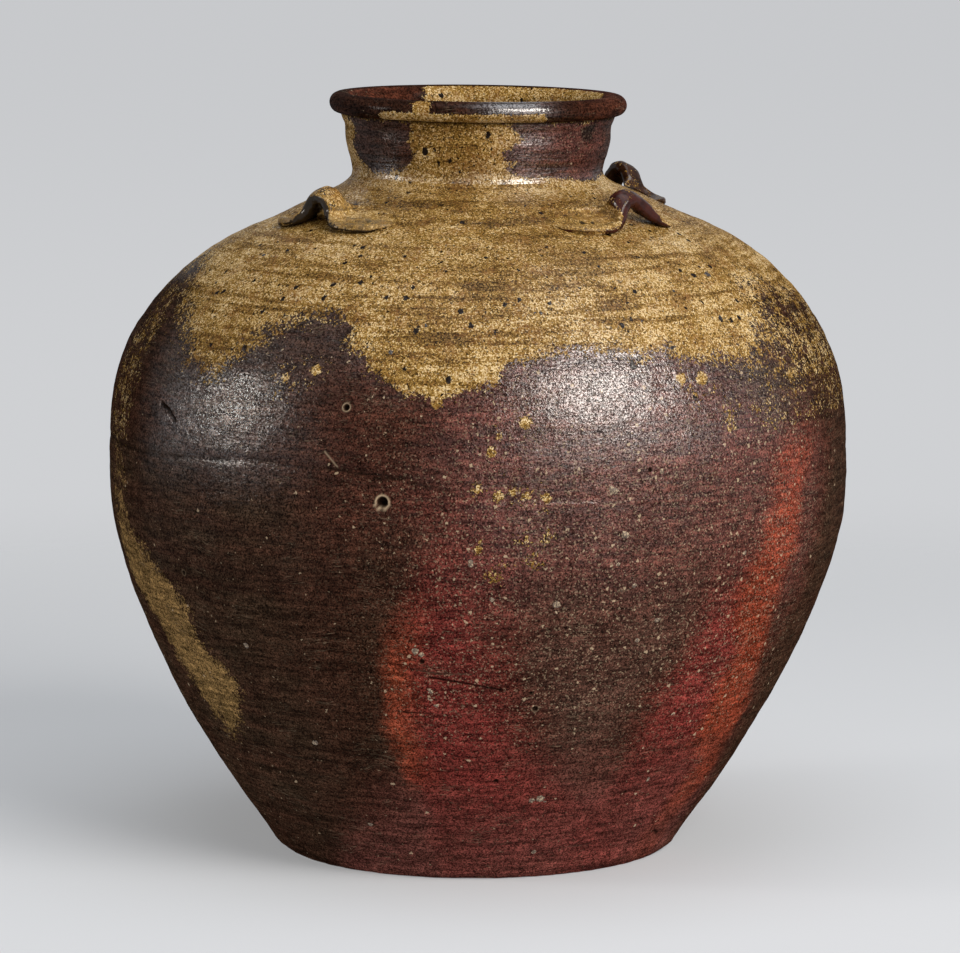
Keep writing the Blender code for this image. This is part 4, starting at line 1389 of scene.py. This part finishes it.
class JAR_OT_grit(bpy.types.Operator):
    """Strew stones over the clay and iron blisters over the glaze"""

    bl_idname = "jar.strew_grit"
    bl_label = "Grit and blisters"

    def execute(self, context):
        colours = context.scene.jar_colours
        feldspar = bit_material(
            "feldspar_grit", (0.0012, 3.0, 0.7), (STONE_HOLLOW, colours.stone), (0.46, 0.64), (0.45, 0.75),
            (0.6, 0.0006))
        iron = bit_material(
            "iron_blisters", (0.0014, 2.0, 0.6), (colours.iron, BLISTER_SKIN), (0.42, 0.62), (0.14, 0.34),
            (0.4, 0.0005))
        add_bits("feldspar_grit", STONES, 0.4, 0.12, feldspar, 51)
        add_bits("iron_blisters", BLISTERS, 0.32, 0.06, iron, 61)
        return {"FINISHED"}


def link_aimed(name, data, place, target):
    """Put a lamp or camera in the scene, turned to look at a point."""
    thing = bpy.data.objects.new(name, data)
    thing.location = place
    thing.rotation_euler = (Vector(target) - thing.location).to_track_quat("-Z", "Y").to_euler()
    bpy.context.scene.collection.objects.link(thing)
    return thing


class JAR_OT_stage(bpy.types.Operator):
    """Set the floor, the backdrop, the lamps and the camera"""

    bl_idname = "jar.set_stage"
    bl_label = "Stage"

    def execute(self, context):
        stage = context.scene.jar_stage
        self.floor(stage)
        self.lamps(stage)
        self.backdrop(context.scene, stage)
        self.camera(context.scene)
        context.scene.view_settings.view_transform = "Standard"
        return {"FINISHED"}

    def floor(self, stage):
        """A round floor that fades into the backdrop away from the jar."""
        bm = bmesh.new()
        bmesh.ops.create_circle(bm, cap_ends=True, segments=96, radius=FLOOR_RADIUS)
        mesh = new_mesh("studio_floor", bm)
        material, wiring, shader, vector = new_material("studio_floor")
        distance = wiring.node("VectorMath", {0: vector}, operation="LENGTH").outputs["Value"]
        wiring.feed(shader, {
            "Base Color": stage.floor,
            "Alpha": wiring.between(distance, FLOOR_FADE, FLOOR_RADIUS, 1.0, 0.0),
            "Emission Color": FLOOR_GLOW_COLOUR,
            "Emission Strength": FLOOR_GLOW,
            "Roughness": 1.0,
            "Specular IOR Level": 0.0,
        })
        mesh.materials.append(material)
        floor = bpy.data.objects.new("studio_floor", mesh)
        bpy.context.scene.collection.objects.link(floor)

    def lamps(self, stage):
        """Soft rectangular lamps, each placed by its direction from the jar."""
        for name, (degrees, elevation, width, height, power, colour) in LAMPS.items():
            data = bpy.data.lights.new(name, "AREA")
            data.shape = "RECTANGLE"
            data.size = width
            data.size_y = height
            data.energy = getattr(stage, power)
            data.color = colour
            azimuth, rise = math.radians(degrees + FACE_DEGREES), math.radians(elevation)
            level = math.cos(rise)
            out = Vector((math.sin(azimuth) * level, -math.cos(azimuth) * level, math.sin(rise)))
            link_aimed(name, data, Vector(LAMP_TARGET) + out * LAMP_DISTANCE, LAMP_TARGET)

    def backdrop(self, scene, stage):
        """A pale backdrop that lamps and shadows don't see."""
        world = bpy.data.worlds.new("studio")
        scene.world = world
        world.use_nodes = True
        wiring = Wiring(world.node_tree)
        direction = wiring.node("TexCoord").outputs["Generated"]
        height = wiring.node("SeparateXYZ", {"Vector": direction}).outputs["Z"]
        seen = wiring.mix(wiring.between(height, -0.13, -0.045), stage.backdrop_low, stage.backdrop_high)
        rays = wiring.node("LightPath").outputs
        path = wiring.most(rays["Is Glossy Ray"], rays["Is Transmission Ray"])
        path = wiring.most(rays["Is Camera Ray"], path)
        colour = wiring.mix(path, (stage.world_strength,) * 3, seen)
        wiring.feed(world.node_tree.nodes["Background"].inputs, {"Color": colour})

    def camera(self, scene):
        """A long lens level with the shoulder, that sees the jar as the picture shows it."""
        data = bpy.data.cameras.new("camera")
        data.sensor_fit = "HORIZONTAL"
        data.sensor_width = SENSOR_WIDTH
        data.lens = FOCAL_PIXELS / PICTURE_PIXELS * SENSOR_WIDTH
        data.shift_x = (PICTURE_PIXELS / 2 - AXIS_PIXEL) / PICTURE_PIXELS
        data.clip_end = 100.0
        face = math.radians(FACE_DEGREES)
        place = (CAMERA_DISTANCE * math.sin(face), -CAMERA_DISTANCE * math.cos(face), CAMERA_HEIGHT)
        scene.camera = link_aimed("camera", data, place, CAMERA_TARGET)


class JAR_PT_panel(bpy.types.Panel):
    """Lists the jar's pieces, sizes and colours"""

    bl_label = "Lugged Jar"
    bl_idname = "JAR_PT_panel"
    bl_space_type = "VIEW_3D"
    bl_region_type = "UI"
    bl_category = "Jar"

    def draw(self, context):
        for operator in OPERATORS:
            self.layout.operator(operator.bl_idname)
        for group in (context.scene.jar_shape, context.scene.jar_colours, context.scene.jar_stage):
            box = self.layout.box()
            for name in group.__annotations__:
                box.prop(group, name)


OPERATORS = (JAR_OT_foot, JAR_OT_lower_body, JAR_OT_shoulder, JAR_OT_neck, JAR_OT_rim, JAR_OT_lugs,
             JAR_OT_grit, JAR_OT_stage)
CLASSES = (JarShape, JarColours, JarStage, *OPERATORS, JAR_PT_panel)


def register():
    for one in CLASSES:
        bpy.utils.register_class(one)
    bpy.types.Scene.jar_shape = bpy.props.PointerProperty(type=JarShape)
    bpy.types.Scene.jar_colours = bpy.props.PointerProperty(type=JarColours)
    bpy.types.Scene.jar_stage = bpy.props.PointerProperty(type=JarStage)


def unregister():
    del bpy.types.Scene.jar_stage
    del bpy.types.Scene.jar_colours
    del bpy.types.Scene.jar_shape
    for one in reversed(CLASSES):
        bpy.utils.unregister_class(one)


def main():
    register()
    bpy.ops.jar.make_foot()
    bpy.ops.jar.make_lower_body()
    bpy.ops.jar.make_shoulder()
    bpy.ops.jar.make_neck()
    bpy.ops.jar.make_rim()
    bpy.ops.jar.make_lugs()
    bpy.ops.jar.strew_grit()
    bpy.ops.jar.set_stage()


if __name__ == "__main__":
    main()
